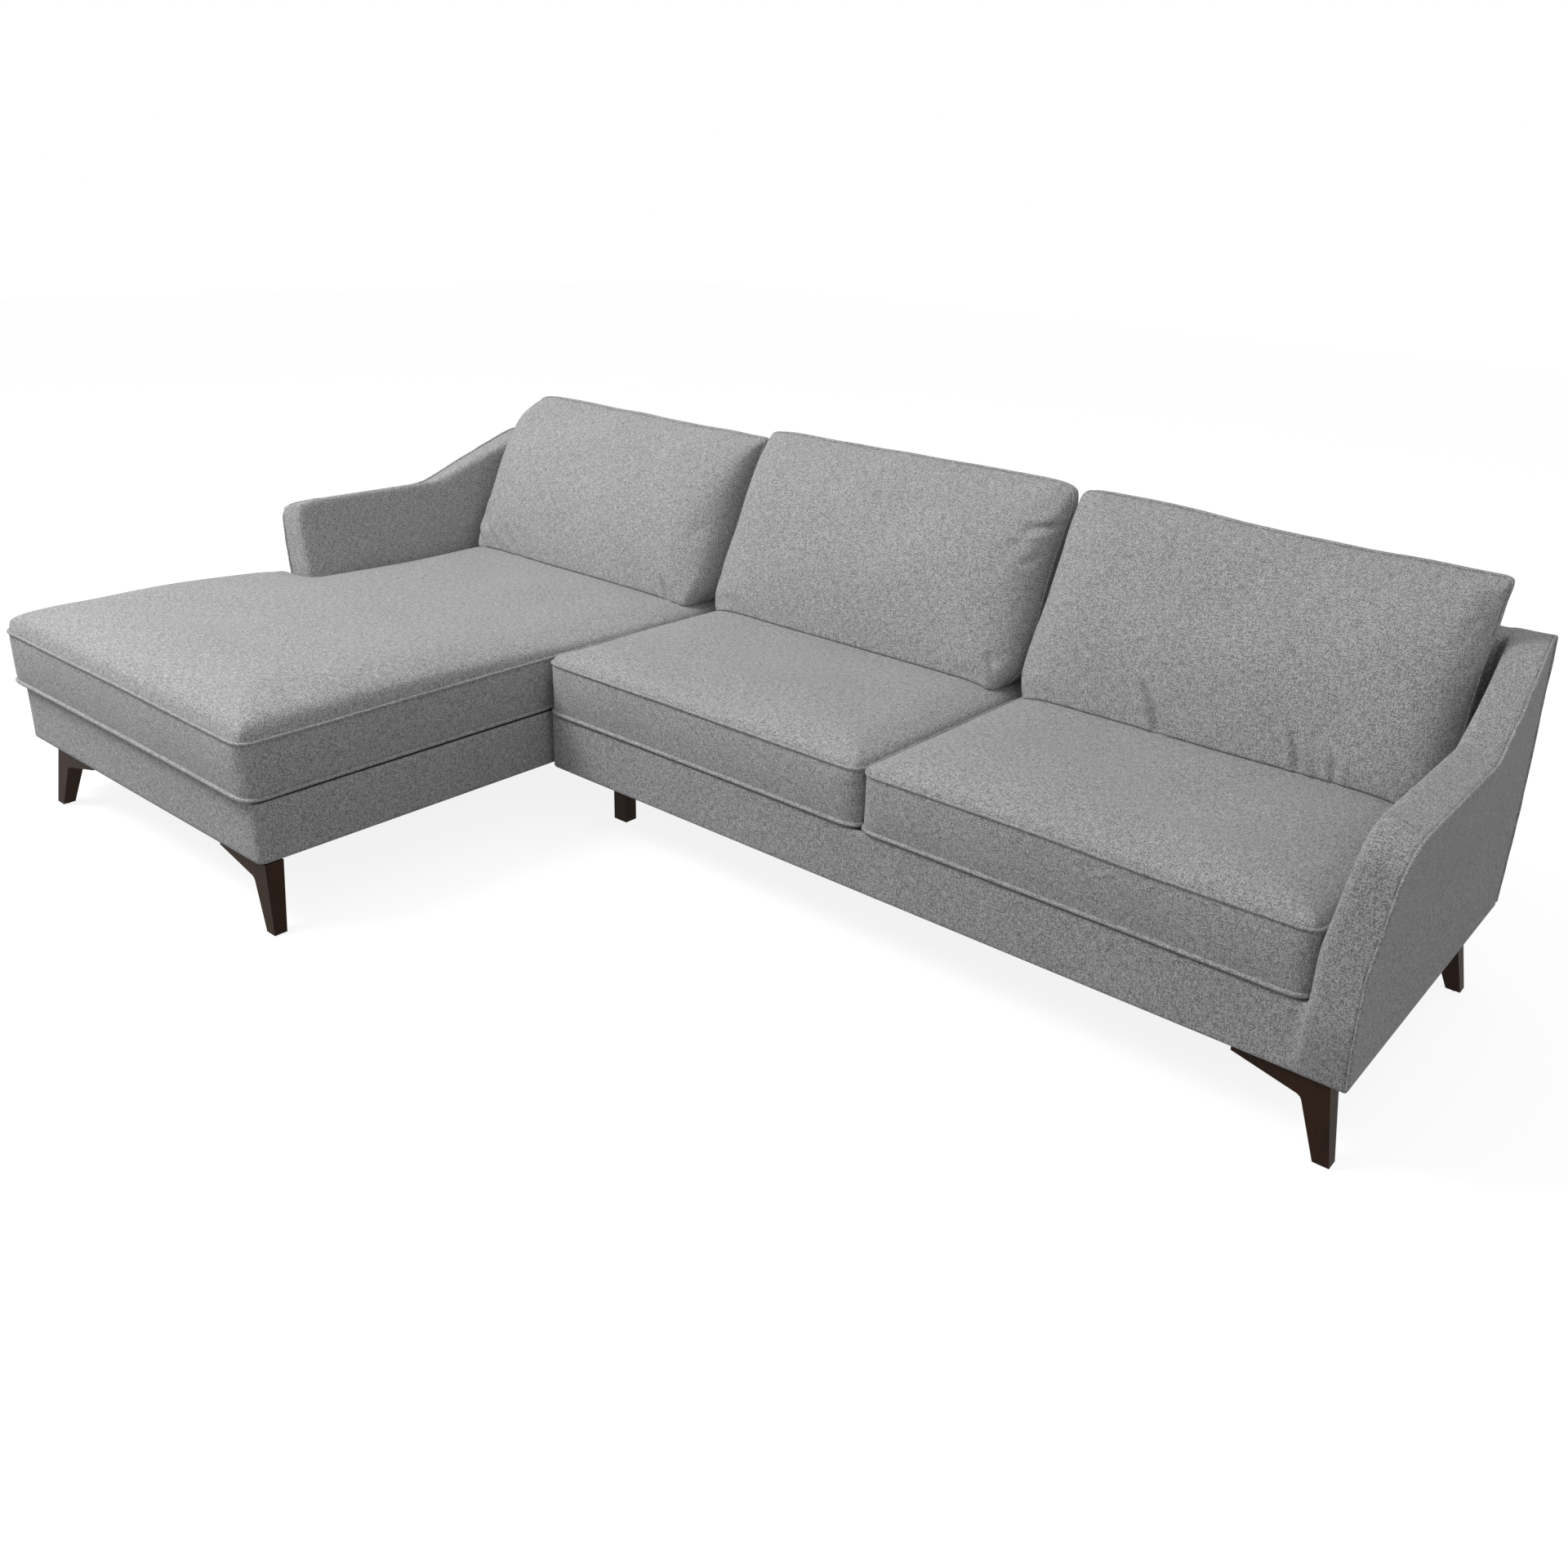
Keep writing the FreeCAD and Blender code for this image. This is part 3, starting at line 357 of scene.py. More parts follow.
def drawn(flat, west, east, shape, seed):
    """Draws a pillow's sides and corners in or out, and lets its top sink and wave."""
    _, droops, ears, waists = shape
    moved = flat.copy()
    top = smoothstep(SINK_LEVEL, PILLOW_HEIGHT, flat[:, 1])
    waist = np.exp(-((flat[:, 1] - WAIST_LEVEL) / WAIST_REACH) ** 2)
    for corner, way, ear, draw in zip((west, east), (-1, 1), ears, waists):
        near = np.hypot(flat[:, 0] - corner, flat[:, 1] - PILLOW_HEIGHT)
        if ear < 0:
            pull = ear * np.clip(1 - near / ROUND_REACH, 0, 1) ** 2
        else:
            pull = (EAR + ear) * np.clip(1 - near / EAR_REACH, 0, 1) ** EAR_FALL
        inside = np.clip(1 - np.abs(flat[:, 0] - corner) / WAIST_SIDE, 0, 1)
        moved[:, 0] += way * (pull - draw * waist * inside ** 2)
        moved[:, 1] += pull * (EAR_RISE if ear >= 0 else ROUND_RISE)
        low = np.hypot(flat[:, 0] - corner, flat[:, 1])
        heel = HEEL * np.clip(1 - low / HEEL_REACH, 0, 1) ** 2
        moved[:, 0] -= way * heel
        moved[:, 1] += HEEL_RISE * heel
    share = smoothstep(SINK_WEST, SINK_EAST, (flat[:, 0] - west) / (east - west))
    moved[:, 1] -= top * (droops[0] + (droops[1] - droops[0]) * share)
    places = np.column_stack((flat[:, 0], np.zeros(len(flat)), np.zeros(len(flat))))
    moved[:, 1] += top * TOP_WAVE * ripple(places, TOP_WAVELENGTH, seed)
    return moved


def rim_depth(up):
    """Depth of a pillow's seam in front of its back, at a height."""
    left = np.clip(1 - up / PILLOW_HEIGHT, 0, 1)
    return RIM_TOP + (RIM_FOOT - RIM_TOP) * left ** RIM_FALL


def pillow_form(name, west, east, shape, seed):
    """Plump wedge with a seam round its sides and top that lies deepest at its foot."""
    corners = [(west, 0), (east, 0), (east, PILLOW_HEIGHT), (west, PILLOW_HEIGHT)]
    line = soft_outline(corners, PILLOW_CORNER, PILLOW_CORNER, 0)
    mesh = remeshed(name, prism(name, [(line, 0), (line, PILLOW_BOX)]), PILLOW_VOXEL)
    points = points_of(mesh)
    sides = np.minimum(points[:, 0] - west, east - points[:, 0])
    foot, top = points[:, 1], PILLOW_HEIGHT - points[:, 1]
    rim = rim_depth(foot)
    full = RIM_TOP + (shape[0] - RIM_TOP) * rise(top, TOP_REACH, TOP_FULLNESS)
    reach = FOOT_SIDE_REACH + (SIDE_REACH - FOOT_SIDE_REACH) * smoothstep(0, SIDE_TURN, foot)
    fill = rim + (full - rim) * rise(sides, reach, SIDE_FULLNESS)
    fill -= FOOT_ROUND * (1 - rise(foot, FOOT_ROUND, FOOT_FULLNESS))
    points[:, 2] *= fill / PILLOW_BOX
    set_points(mesh, pillow_place(drawn(points, west, east, shape, seed)))
    seam = np.column_stack((line, rim_depth(line[:, 1])))
    return mesh, pillow_place(drawn(seam, west, east, shape, seed))


def pillow_pins(mesh, rim):
    """Which points of a pillow are held: its back, its underside and its rim."""
    points = points_of(mesh)
    flat = pillow_laid(points)
    hidden = (flat[:, 2] < HELD_BACK) | (flat[:, 1] < HELD_UNDER)
    return hidden | (distance_to(points, rim) < HELD_RIM)


def crease(flat, start, end, depth, width):
    """Presses a fold into the front of a pillow that is laid flat."""
    start, end = np.array(start), np.array(end)
    along = end - start
    share = np.clip((flat[:, :2] - start) @ along / (along @ along), 0, 1)
    off = np.linalg.norm(flat[:, :2] - start - share[:, None] * along, axis=1)
    fade = np.sin(math.pi * (FOLD_START + FOLD_LENGTH * share)) ** FOLD_FADE
    front = smoothstep(FOLD_REAR, FOLD_FRONT, flat[:, 2])
    lip = np.exp(-((off - LIP_PLACE * width) / (LIP_WIDTH * width)) ** 2)
    dent = np.exp(-(off / width) ** 2) - LIP * lip
    flat[:, 2] -= depth * dent * fade * front


# Simulation: cloth over a stuffed form, held at its seams

FRAMES = 20
PRESSURE = 2.2
CLOTH_QUALITY, CLOTH_MASS, CLOTH_BENDING = 5, 0.3, 0.6


def add_cloth(piece, held, growth):
    """Cloth that swells under pressure and has a little more cloth than its form."""
    group = piece.vertex_groups.new(name="held")
    group.add([int(i) for i in np.nonzero(held)[0]], 1.0, "REPLACE")
    cloth = piece.modifiers.new("cloth", "CLOTH")
    settings = cloth.settings
    settings.quality = CLOTH_QUALITY
    settings.mass = CLOTH_MASS
    settings.use_pressure = True
    settings.uniform_pressure_force = PRESSURE
    settings.effector_weights.gravity = 0
    settings.vertex_group_mass = "held"
    settings.pin_stiffness = 1
    settings.shrink_min = -growth
    settings.bending_stiffness = CLOTH_BENDING
    cloth.point_cache.frame_start = 1
    cloth.point_cache.frame_end = FRAMES


def simulate(pieces, caps):
    """Runs the cloth of all pieces together and keeps each result, up to its cap."""
    before = [points_of(piece.data) for piece in pieces]
    for frame_number in range(1, FRAMES + 1):
        scene.frame_set(frame_number)
    graph = bpy.context.evaluated_depsgraph_get()
    after = [points_of(piece.evaluated_get(graph).data) for piece in pieces]
    for piece, old, new, cap in zip(pieces, before, after, caps):
        piece.modifiers.clear()
        piece.vertex_groups.clear()
        moved = new - old
        length = np.linalg.norm(moved, axis=1)
        share = np.minimum(1, cap / np.maximum(length, LEAST_MOVE))
        set_points(piece.data, old + moved * share[:, None])
    scene.frame_set(1)


def subdivided(piece):
    """Replaces a piece's mesh by its subdivision."""
    modifier = piece.modifiers.new("finer", "SUBSURF")
    modifier.levels = modifier.render_levels = 1
    graph = bpy.context.evaluated_depsgraph_get()
    finer = bpy.data.meshes.new_from_object(piece.evaluated_get(graph))
    piece.modifiers.clear()
    piece.data = finer
    finer.shade_smooth()


def welt(name, points, radius, closed=True):
    """Round welt along points, as a curve."""
    data = bpy.data.curves.new(name, "CURVE")
    data.dimensions = "3D"
    data.bevel_depth = radius
    data.bevel_resolution = 2
    spline = data.splines.new("POLY")
    spline.points.add(len(points) - 1)
    rows = np.column_stack((points, np.ones(len(points))))
    spline.points.foreach_set("co", rows.ravel())
    spline.use_cyclic_u = closed
    piece = bpy.data.objects.new(name, data)
    scene.collection.objects.link(piece)
    return piece


# Materials


class Nodes:
    """Node tree of a material or a world, with short calls to add and join nodes."""

    def __init__(self, owner):
        self.owner = owner
        owner.use_nodes = True
        self.tree = owner.node_tree
        self.tree.nodes.clear()

    def add(self, kind, inputs=(), **settings):
        """Adds a node; inputs map a socket's name or number to a value or a socket."""
        made = self.tree.nodes.new("ShaderNode" + kind)
        for name, value in settings.items():
            setattr(made, name, value)
        for key, value in dict(inputs).items():
            if isinstance(value, bpy.types.NodeSocket):
                self.tree.links.new(value, made.inputs[key])
            else:
                made.inputs[key].default_value = value
        return made

    def math(self, operation, *values):
        """Math node over some values or sockets."""
        return self.add("Math", dict(enumerate(values)), operation=operation).outputs[0]

    def share(self, first, weight, second, other_weight):
        """Sum of two values, each times its weight."""
        return self.math("ADD", self.math("MULTIPLY", first, weight),
                         self.math("MULTIPLY", second, other_weight))

    def noise(self, place, scale, detail, **inputs):
        """Noise over a place."""
        values = {"Vector": place, "Scale": scale, "Detail": detail, **inputs}
        return self.add("TexNoise", values).outputs[0]

    def ramp(self, tone, start, end, dark, light):
        """Colour that goes from dark to light as a tone goes from start to end."""
        made = self.add("ValToRGB", {0: tone})
        for element, place, colour in zip(
            made.color_ramp.elements, (start, end), (dark, light)
        ):
            element.position = place
            element.color = (*colour, 1)
        return made.outputs[0]

    def bump(self, height, strength, distance):
        """Normal of a surface with small relief."""
        values = {"Height": height, "Strength": strength, "Distance": distance}
        return self.add("Bump", values).outputs[0]

    def seen(self):
        """1 for what is looked at, straight or by way of a mirror or glass, else 0."""
        rays = self.add("LightPath").outputs
        direct = self.math("MAXIMUM", rays["Is Camera Ray"], rays["Is Glossy Ray"])
        return self.math("MAXIMUM", direct, rays["Is Transmission Ray"])

    def finish(self, shader, kind="Material"):
        """Joins a shader to the output and returns the tree's owner."""
        output = self.add("Output" + kind)
        self.tree.links.new(shader.outputs[0], output.inputs[0])
        return self.owner


def new_material(name):
    """Nodes of a new material."""
    return Nodes(bpy.data.materials.new(name))


YARN_ALONG, YARN_ACROSS, YARN_SHIFT = 0.9, 0.13, 40
AXIS_BLEND = 8.0
BROAD_SCALE, FLECK_SCALE = 6.0, 430.0
YARN_WEIGHT, FLECK_WEIGHT, BROAD_WEIGHT = 0.34, 0.63, 0.03
WARP_WEIGHT, GRAIN_WEIGHT = 0.45, 0.55
# Tones between which a colour goes from dark to light
CLOTH_RAMP, WOOD_RAMP, PLAIN_RAMP = (0.44, 0.56), (0.35, 0.68), (0.3, 0.7)
# How much a grain roughens its material, and a fleck its cloth's relief
WOOD_ROUGHENS, PLAIN_ROUGHENS, FUZZ = 0.12, 0.2, 0.8


def weave(nodes, across, along, pitch):
    """Height and yarn tone of a plain weave over two flat coordinates."""
    u = nodes.math("DIVIDE", across, pitch)
    v = nodes.math("DIVIDE", along, pitch)
    warp = nodes.math("SINE", nodes.math("MULTIPLY", u, math.pi))
    weft = nodes.math("SINE", nodes.math("MULTIPLY", v, math.pi))
    over = nodes.math("MULTIPLY", warp, weft)
    height = nodes.math("POWER", nodes.math("ABSOLUTE", over), 0.5)
    tones = []
    for stretch_u, stretch_v, shift in (
        (YARN_ALONG, YARN_ACROSS, 0), (YARN_ACROSS, YARN_ALONG, YARN_SHIFT),
    ):
        place = nodes.add("CombineXYZ", {
            0: nodes.math("MULTIPLY", u, stretch_u),
            1: nodes.math("MULTIPLY", v, stretch_v),
            2: shift,
        }).outputs[0]
        tones.append(nodes.noise(place, scale=1.0, detail=1.0))
    side = nodes.math("GREATER_THAN", over, 0.0)
    tone = nodes.add("Mix", {0: side, 2: tones[0], 3: tones[1]}).outputs[0]
    return height, tone


def fabric(name, dark, light, pitch=0.0022, sheen=0.15):
    """Melange cloth in a plain weave that lies on a surface from its nearest axis."""
    nodes = new_material(name)
    source = nodes.add("TexCoord").outputs
    x, y, z = nodes.add("SeparateXYZ", {0: source["Object"]}).outputs
    normal = nodes.add("SeparateXYZ", {0: source["Normal"]}).outputs
    facing = [nodes.math("POWER", nodes.math("ABSOLUTE", n), AXIS_BLEND) for n in normal]
    total = nodes.math("ADD", nodes.math("ADD", *facing[:2]), facing[2])
    height = tone = None
    for (across, along), weight in zip(((y, z), (x, z), (x, y)), facing):
        share = nodes.math("DIVIDE", weight, total)
        level, shade = weave(nodes, across, along, pitch)
        level = nodes.math("MULTIPLY", level, share)
        shade = nodes.math("MULTIPLY", shade, share)
        height = level if height is None else nodes.math("ADD", height, level)
        tone = shade if tone is None else nodes.math("ADD", tone, shade)
    broad = nodes.noise(source["Object"], BROAD_SCALE, detail=3.0)
    fleck = nodes.noise(source["Object"], FLECK_SCALE, detail=2.0, Roughness=0.7)
    tone = nodes.share(tone, YARN_WEIGHT, fleck, FLECK_WEIGHT)
    tone = nodes.math("ADD", tone, nodes.math("MULTIPLY", broad, BROAD_WEIGHT))
    fuzz = nodes.math("ADD", height, nodes.math("MULTIPLY", fleck, FUZZ))
    shader = nodes.add("BsdfPrincipled", {
        "Base Color": nodes.ramp(tone, *CLOTH_RAMP, dark, light),
        "Normal": nodes.bump(fuzz, strength=0.35, distance=0.0006),
        "Roughness": 0.92, "Specular IOR Level": 0.2,
        "Sheen Weight": sheen, "Sheen Roughness": 0.45, "Sheen Tint": (0.8, 0.8, 0.82, 1),
    })
    return nodes.finish(shader)


def wood(name, dark, light, roughness, stretch, specular=0.4):
    """Wood whose grain runs along one axis."""
    nodes = new_material(name)
    source = nodes.add("TexCoord").outputs
    laid = nodes.add("Mapping", {0: source["Object"], "Scale": stretch}).outputs[0]
    warp = nodes.noise(laid, scale=6.0, detail=4.0, Distortion=0.6)
    grain = nodes.noise(laid, scale=34.0, detail=8.0, Roughness=0.65)
    tone = nodes.share(warp, WARP_WEIGHT, grain, GRAIN_WEIGHT)
    rough = nodes.math("ADD", roughness, nodes.math("MULTIPLY", grain, WOOD_ROUGHENS))
    shader = nodes.add("BsdfPrincipled", {
        "Base Color": nodes.ramp(tone, *WOOD_RAMP, dark, light),
        "Normal": nodes.bump(tone, strength=0.18, distance=0.0008),
        "Roughness": rough,
        "Specular IOR Level": specular,
    })
    return nodes.finish(shader)


def plain(name, dark, light, roughness, scale, metallic=0.0):
    """Hard material with a fine grain of its own."""
    nodes = new_material(name)
    grain = nodes.noise(nodes.add("TexCoord").outputs["Object"], scale, detail=5.0)
    rough = nodes.math("ADD", roughness, nodes.math("MULTIPLY", grain, PLAIN_ROUGHENS))
    shader = nodes.add("BsdfPrincipled", {
        "Base Color": nodes.ramp(grain, *PLAIN_RAMP, dark, light),
        "Normal": nodes.bump(grain, strength=0.1, distance=0.0004),
        "Roughness": rough,
        "Metallic": metallic,
    })
    return nodes.finish(shader)


UPHOLSTERY = fabric("upholstery", (0.215, 0.215, 0.218), (0.600, 0.600, 0.608))
WEBBING = fabric("webbing", (0.03, 0.03, 0.032), (0.07, 0.07, 0.075), 0.0015)
DECK_CLOTH = fabric("deck_cloth", (0.05, 0.05, 0.053), (0.10, 0.10, 0.105), 0.0010)
DUST_CLOTH = fabric(
    "dust_cloth", (0.010, 0.010, 0.011), (0.022, 0.022, 0.024), 0.0010, sheen=0.1,
)
LEG_WOOD = wood(
    "leg_wood", (0.012, 0.0046, 0.0022), (0.038, 0.0155, 0.007),
    roughness=0.50, stretch=(9, 9, 1), specular=0.14,
)
FRAME_WOOD = wood(
    "frame_wood", (0.42, 0.27, 0.14), (0.66, 0.48, 0.29), roughness=0.60, stretch=(1.2, 7, 7),
)
PLYWOOD = wood(
    "plywood", (0.45, 0.31, 0.18), (0.68, 0.52, 0.34), roughness=0.62, stretch=(9, 1, 1),
)
STEEL = plain(
    "steel", (0.42, 0.42, 0.44), (0.55, 0.55, 0.57), roughness=0.32, scale=90.0, metallic=1.0,
)
GLIDE = plain(
    "glide_plastic", (0.045, 0.045, 0.045), (0.07, 0.07, 0.07), roughness=0.40, scale=160.0,
)


def finish_piece(piece, body, material, nodes=()):
    """Gives a piece its material and body, and hides the nodes that it stands for."""
    piece.data.materials.clear()
    piece.data.materials.append(material)
    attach(piece, body)
    if nodes:
        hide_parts(*nodes)


# Each seat's body and plan, and each back cushion's body

ARM_GAP = 0.002
NOTCH_X, NOTCH_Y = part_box("back_cushion_left")[0].x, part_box("arm_left_cover")[0].y - ARM_GAP
low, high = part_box("chaise_seat_cushion")
SEATS = {
    "chaise_seat_cushion": ("chaise_seat", [
        *rectangle(low, high)[:3], (NOTCH_X, high.y), (NOTCH_X, NOTCH_Y), (low.x, NOTCH_Y),
    ]),
    "seat_cushion_left": ("seat_left", rectangle(*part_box("seat_cushion_left"))),
    "seat_cushion_right": ("seat_right", rectangle(*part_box("seat_cushion_right"))),
}
PILLOWS = {
    "back_cushion_left": "back_left",
    "back_cushion_middle": "back_middle",
    "back_cushion_right": "back_right",
}

# Seat and back cushions, simulated together

# Each seat's crown at its front and at its rear
CROWNS = {
    "chaise_seat_cushion": (0.064, 0.027),
    "seat_cushion_left": (0.036, 0.034),
    "seat_cushion_right": (0.036, 0.034),
}
# Each pillow's folds: start and end over (x, up), depth and width
CREASES = {
    "back_cushion_left": [
        ((-1.405, 0.055), (-1.345, 0.012), 0.0060, 0.007),
        ((-1.340, 0.065), (-1.270, 0.012), 0.0050, 0.008),
        ((-1.250, 0.055), (-1.180, 0.012), 0.0040, 0.008),
        ((-0.600, 0.050), (-0.569, 0.004), 0.0080, 0.007),
    ],
    "back_cushion_middle": [
        ((0.478, 0.350), (0.415, 0.338), 0.0130, 0.008),
        ((0.474, 0.300), (0.425, 0.262), 0.0060, 0.009),
        ((-0.170, 0.400), (0.060, 0.384), 0.0030, 0.012),
        ((0.415, 0.065), (0.455, 0.006), 0.0080, 0.007),
    ],
    "back_cushion_right": [
        ((0.806, 0.092), (0.866, 0.006), 0.0130, 0.009),
        ((1.136, 0.070), (1.168, 0.006), 0.0085, 0.007),
        ((1.222, 0.050), (1.240, 0.006), 0.0060, 0.007),
        ((1.405, 0.395), (1.385, 0.300), 0.0050, 0.012),
    ],
}
# Each pillow's depth at its foot, how far its top sinks, its ears and how far its sides draw in,
# the last three at its west and its east
SHAPES = {
    "back_cushion_left": (0.196, (0.020, 0.023), (-0.026, 0.002), (0.004, 0.010)),
    "back_cushion_middle": (0.172, (0.0, -0.003), (-0.006, -0.014), (0.008, 0.012)),
    "back_cushion_right": (0.168, (0.0, 0.021), (-0.008, 0.002), (0.008, 0.004)),
}
ARMS_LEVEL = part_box("arm_right_cover")[1].z
SEAT_SWELL, PILLOW_SWELL = 0.004, 0.022
SEAT_GROWTH, PILLOW_GROWTH = 0.001, 0.005
SIDE_SLACK = 0.0025
LINE_ROUNDS = 2
# Each welt's level and radius, then how proud it stands; and the rim's, with its radius
SEAT_WELTS = (("top", SEAT_WELT, 0.0036), ("foot", SEAT_SEAM, 0.0050))
WELT_PROUD = 0.0028
RIM_PROUD, RIM_RADIUS = 0.0012, 0.0026

soft_pieces, forms = [], {}
for node, (_, corners) in SEATS.items():
    mesh, line = seat_form(node + "_soft", corners, *CROWNS[node])
    piece = add_mesh(node + "_soft", mesh)
    forms[node] = (piece, line)
    add_cloth(piece, seat_pins(mesh, line), SEAT_GROWTH)
    soft_pieces.append(piece)
for seed, node in enumerate(PILLOWS):
    low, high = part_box(node)
    mesh, rim = pillow_form(node + "_soft", low.x, high.x, SHAPES[node], seed)
    piece = add_mesh(node + "_soft", mesh)
    forms[node] = (piece, rim)
    add_cloth(piece, pillow_pins(mesh, rim), PILLOW_GROWTH)
    soft_pieces.append(piece)
simulate(soft_pieces, [SEAT_SWELL] * len(SEATS) + [PILLOW_SWELL] * len(PILLOWS))


def kept_between(piece, low, high, ears=(0, 0)):
    """Keeps a piece's sides clear of its neighbours; its ears are free above the arms."""
    points = points_of(piece.data)
    free = points[:, 2] > ARMS_LEVEL
    west, east = (SIDE_SLACK + free * max(ear, 0) for ear in ears)
    points[:, 0] = np.clip(points[:, 0], low - west, high + east)
    set_points(piece.data, points)


def snapped(piece, line, proud):
    """Line laid on a piece's surface, standing a little proud of it."""
    tree = surface_tree(piece)
    laid = []
    for point in line:
        place, normal, _, _ = tree.find_nearest(Vector(point))
        laid.append(place + normal * proud)
    laid = np.array(laid)
    for _ in range(LINE_ROUNDS):
        laid = (np.roll(laid, 1, 0) + 2 * laid + np.roll(laid, -1, 0)) / 4
    return laid


EVEN_ROUNDS, CROWN_ROUNDS, PILLOW_ROUNDS = 3, 12, 2
CROWN_EVEN_FROM, CROWN_EVEN_TO = 0.02, 0.06

for seed, (node, (body, _)) in enumerate(SEATS.items()):
    piece, line = forms[node]
    points = points_of(piece.data)
    above = smoothstep(SEAT_FOOT, SEAT_SEAM, points[:, 2])
    smooth_points(piece.data, EVEN_ROUNDS, 0.5 * above)
    inside = distance_to(points[:, :2], line)
    middle = smoothstep(CROWN_EVEN_FROM, CROWN_EVEN_TO, inside)
    smooth_points(piece.data, CROWN_ROUNDS, 0.5 * middle)
    set_points(piece.data, swayed(points_of(piece.data), seed))
    low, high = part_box(node)
    kept_between(piece, low.x, high.x)
    subdivided(piece)
    finish_piece(piece, body, UPHOLSTERY, [node])
    for label, level, radius in SEAT_WELTS:
        seam = swayed(np.column_stack((line, np.full(len(line), level))), seed)
        seam = snapped(piece, seam, WELT_PROUD)
        name = "%s_%s_welt" % (node, label)
        finish_piece(welt(name, seam, radius), body, UPHOLSTERY)

seat_trees = [surface_tree(forms[node][0]) for node in SEATS]
# How far above a seat a pillow rests, and how high up its foot follows it, is held to it and is
# pressed together, and by how much
REST = 0.0015
FOLLOW_REACH, HOLD_REACH = 0.14, 0.13
FOOT_PRESS, PRESS_REACH = 0.016, 0.045
SEAT_INSET = 0.012
SEAT_SIDE, SEAT_BACK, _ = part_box("seat_cushion_right")[1]
# West and east of the seat under each pillow
SEAT_SPANS = {
    "back_cushion_left": (-SEAT_SIDE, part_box("chaise_seat_cushion")[1].x),
    "back_cushion_middle": [corner.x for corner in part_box("seat_cushion_left")],
    "back_cushion_right": [corner.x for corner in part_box("seat_cushion_right")],
}
RAY_START, DOWN = 1, Vector((0, 0, -1))


def seat_level(x, y):
    """Height of the seats under a place, or their welt's where there is a gap."""
    for tree in seat_trees:
        place = tree.ray_cast(Vector((x, y, RAY_START)), DOWN)[0]
        if place is not None:
            return place.z
    return SEAT_WELT


def seated(points, span):
    """Lets the foot of a pillow follow the seat below it and rest on it.

    Past the seat's sides and rear the level just inside them is followed.
    """
    near = np.nonzero(points[:, 2] < PILLOW_FOOT + FOLLOW_REACH)[0]
    across = np.clip(points[near, 0], span[0] + SEAT_INSET, span[1] - SEAT_INSET)
    back = np.minimum(points[near, 1], SEAT_BACK - SEAT_INSET)
    level = np.array([seat_level(*place) for place in zip(across, back)])
    hold = 1 - smoothstep(0, HOLD_REACH, points[near, 2] - PILLOW_FOOT)
    press = 1 - smoothstep(0, PRESS_REACH, points[near, 2] - PILLOW_FOOT)
    points[near, 2] += (level + REST - PILLOW_FOOT) * hold - FOOT_PRESS * press
    points[near, 2] = np.maximum(points[near, 2], level + REST)
    return points


for node, body in PILLOWS.items():
    piece, rim = forms[node]
    smooth_points(piece.data, PILLOW_ROUNDS)
    low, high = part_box(node)
    subdivided(piece)
    flat = pillow_laid(points_of(piece.data))
    for fold in CREASES[node]:
        crease(flat, *fold)
    set_points(piece.data, seated(pillow_place(flat), SEAT_SPANS[node]))
    kept_between(piece, low.x, high.x, SHAPES[node][2])
    finish_piece(piece, body, UPHOLSTERY, [node])
    rim = snapped(piece, seated(rim.copy(), SEAT_SPANS[node]), RIM_PROUD)
    finish_piece(welt(node + "_rim", rim, RIM_RADIUS), body, UPHOLSTERY)

# Padded arms, bases and backs

MERGE = 1e-5
COVER_VOXEL, COVER_ROUNDS = 0.006, 5
CRISP_FOOT, CRISP_DECK, CRISP_EDGE, CRISPNESS = 0.020, 0.012, 0.018, 0.8
DECK_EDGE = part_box("chaise_base_cover")[1].z
# The arm's outer edge: how far out and above its foot it lies, and how sharp it is, in radians
OUTER_LINE, OUTER_FOOT, SHARP = 1.499, 0.001, 0.6
EDGE_STEP, BACK_STEP, BACK_INSET = 0.012, 0.02, 0.01
# The arm's inner face leans out by its flare between the waist and the top
INNER_FOOT, INNER_FLARE, ARM_WAIST, ARM_TOP = 1.4225, 0.040, 0.390, 0.638
# The soft inner edge: its width, its rounds, and how low and how far back it goes
SOFT_EDGE, SOFT_ROUNDS, SOFT_FOOT, SOFT_REAR = 0.024, 20, 0.31, 0.78
# The left arm's front corner: its radius, the top's fall outwards, and how much it is tightened
ARM_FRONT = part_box("arm_left_cover")[0].y
FRONT_ROUND, TOP_SLOPE, TIGHTEN = 0.062, 0.28, 0.65
# The seam across the arm's top: its ends, points, place along y and the level it is dropped from
CROSS_INNER, CROSS_OUTER, CROSS_POINTS = 1.4560, 1.5370, 14
CROSS_ALONG, CROSS_ABOVE = -0.004, 0.66
# How proud each of them stands, and its radius
ARM_WELT, CROSS_SEAM, BACK_WELT = (0.0026, 0.0032), (0.0010, 0.0020), (0.0010, 0.0030)


def evenly(line, step):
    """Open line cut into even steps."""
    steps = np.linalg.norm(np.diff(line, axis=0), axis=1)
    length = np.concatenate(([0], np.cumsum(steps)))
    at = np.linspace(0, length[-1], max(int(length[-1] / step), 2) + 1)
    return np.column_stack([np.interp(at, length, line[:, axis]) for axis in range(3)])


def there_and_back(line):
    """Open line as a closed one."""
    return np.vstack((line, line[::-1]))


def laid_open(piece, line, proud):
    """Open line laid on a surface, less its end points."""
    return snapped(piece, there_and_back(line), proud)[1:len(line) - 1]


